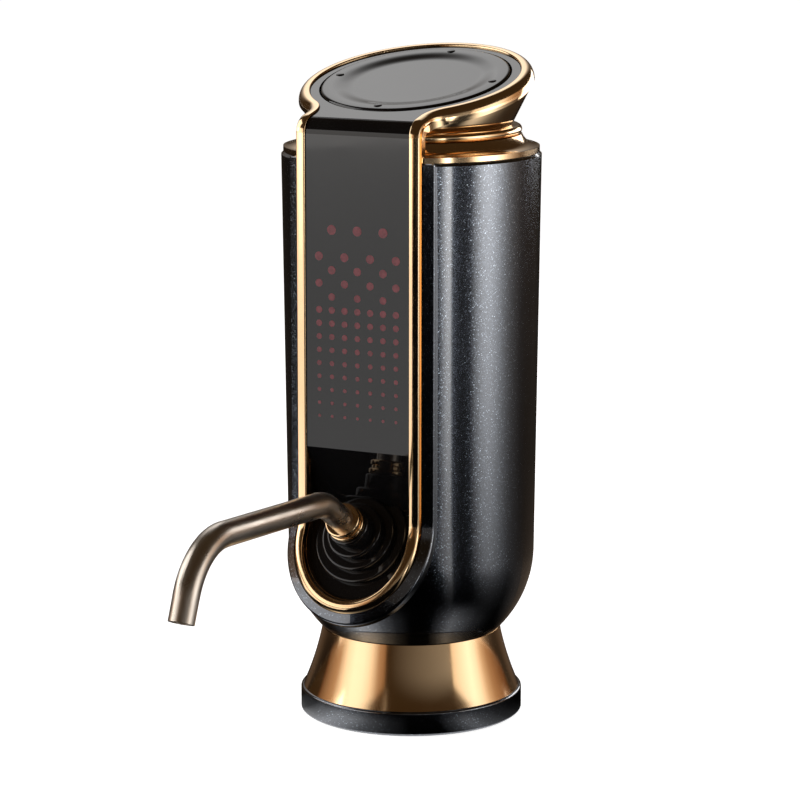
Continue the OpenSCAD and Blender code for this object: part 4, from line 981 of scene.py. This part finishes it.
def softbox(name, bearing, distance, low, high, width, radiance, across, downward, warmth=0):
    """An upright lamp at a bearing from the front towards +X, facing the pourer, with its levels of light
    across from the lower bearing and down from the top."""
    lamp = bpy.data.lights.new(name, "AREA")
    lamp.shape = "RECTANGLE"
    lamp.size = width
    lamp.size_y = high - low
    lamp.energy = radiance * math.pi * width * (high - low)
    lamp.use_nodes = True
    tree = lamp.node_tree
    face = tree.nodes.new("ShaderNodeNewGeometry")
    split = tree.nodes.new("ShaderNodeSeparateXYZ")
    tree.links.new(face.outputs["Parametric"], split.inputs["Vector"])
    glow = tree.nodes["Emission"]
    tree.links.new(add_ramp(tree, split.outputs["X"], across, warmth), glow.inputs["Color"])
    tree.links.new(add_ramp(tree, split.outputs["Y"], downward), glow.inputs["Strength"])
    box = bpy.data.objects.new(name, lamp)
    bpy.context.scene.collection.objects.link(box)
    turn = math.radians(bearing)
    box.location = (distance * math.sin(turn), -distance * math.cos(turn), (low + high) / 2)
    box.rotation_euler = (math.pi / 2, 0, turn)
    box.visible_camera = False


even = ((0, 1), (1, 1))
soft = ((0, 0), (0.12, 0.12), (0.25, 0.45), (0.38, 0.88), (0.5, 1), (0.62, 0.88), (0.75, 0.45),
        (0.88, 0.12), (1, 0))
right_levels = ((0.0, 0.0), (0.138, 0.0), (0.149, 0.65), (0.288, 0.85), (0.403, 1.0), (0.489, 0.85),
                (0.578, 0.48), (0.659, 0.28), (0.766, 0.18), (0.891, 0.10), (1.0, 0.04))
middle_levels = ((0.0, 0.0), (0.06, 0.06), (1.0, 1.0))
middle_fade = ((0.0, 1.0), (0.65, 1.0), (1.0, 0.0))
left_levels = ((0.0, 0.05), (0.28, 0.32), (0.40, 0.85), (0.5, 1.0), (0.61, 0.95), (0.69, 0.80),
               (0.81, 0.30), (0.92, 0.18), (0.93, 0.0), (1.0, 0.0))
softbox("right_box", bearing=112, distance=1.30, low=0.0, high=0.56, width=2.60, radiance=1.6,
        across=right_levels, downward=even, warmth=0.35)
softbox("middle_box", bearing=38, distance=1.20, low=0.0, high=0.60, width=1.82, radiance=0.28,
        across=middle_levels, downward=middle_fade)
softbox("left_box", bearing=-45, distance=1.30, low=0.0, high=0.66, width=2.60, radiance=1.6,
        across=left_levels, downward=even, warmth=0.35)
softbox("side_box", bearing=-75, distance=0.50, low=0.16, high=0.65, width=0.42, radiance=1.9,
        across=even, downward=even)
softbox("back_box", bearing=164, distance=0.60, low=0.085, high=0.30, width=0.42, radiance=2.8,
        across=even, downward=even)
softbox("sky_box", bearing=-147, distance=1.20, low=0.20, high=1.75, width=1.50, radiance=1.5,
        across=soft, downward=soft)
back_level = 0.42
back_spread = math.radians(32)
back_from = Vector((-0.435, 0.66, 0.61))
lamp = bpy.data.lights.new("back_lamp", "SUN")
lamp.energy = back_level
lamp.angle = back_spread
back_lamp = bpy.data.objects.new("back_lamp", lamp)
bpy.context.scene.collection.objects.link(back_lamp)
back_lamp.rotation_euler = back_from.to_track_quat("Z", "Y").to_euler()
back_lamp.visible_glossy = False

# Camera at the photograph's height and bearing, with a long lens. It looks a little down at the middle of
# the pourer, so that the button's face shows.
camera_bearing = math.radians(26.5)
camera_distance = 760 * MM
camera_height = 220.93 * MM
aim_side = -2.785 * MM
aim_z = 77.55 * MM
lens_length = 141.87
sensor_width = 36
camera_data = bpy.data.cameras.new("camera")
camera_data.lens = lens_length
camera_data.sensor_width = sensor_width
camera_data.clip_start = 0.01
camera = bpy.data.objects.new("camera", camera_data)
bpy.context.scene.collection.objects.link(camera)
stand_point = Vector((camera_distance * math.sin(camera_bearing),
                      -camera_distance * math.cos(camera_bearing), camera_height))
aim = Vector((aim_side * math.cos(camera_bearing), aim_side * math.sin(camera_bearing), aim_z))
camera.location = stand_point
camera.rotation_euler = (aim - stand_point).to_track_quat("-Z", "Y").to_euler()
bpy.context.scene.camera = camera
bpy.context.scene.view_settings.view_transform = "Standard"
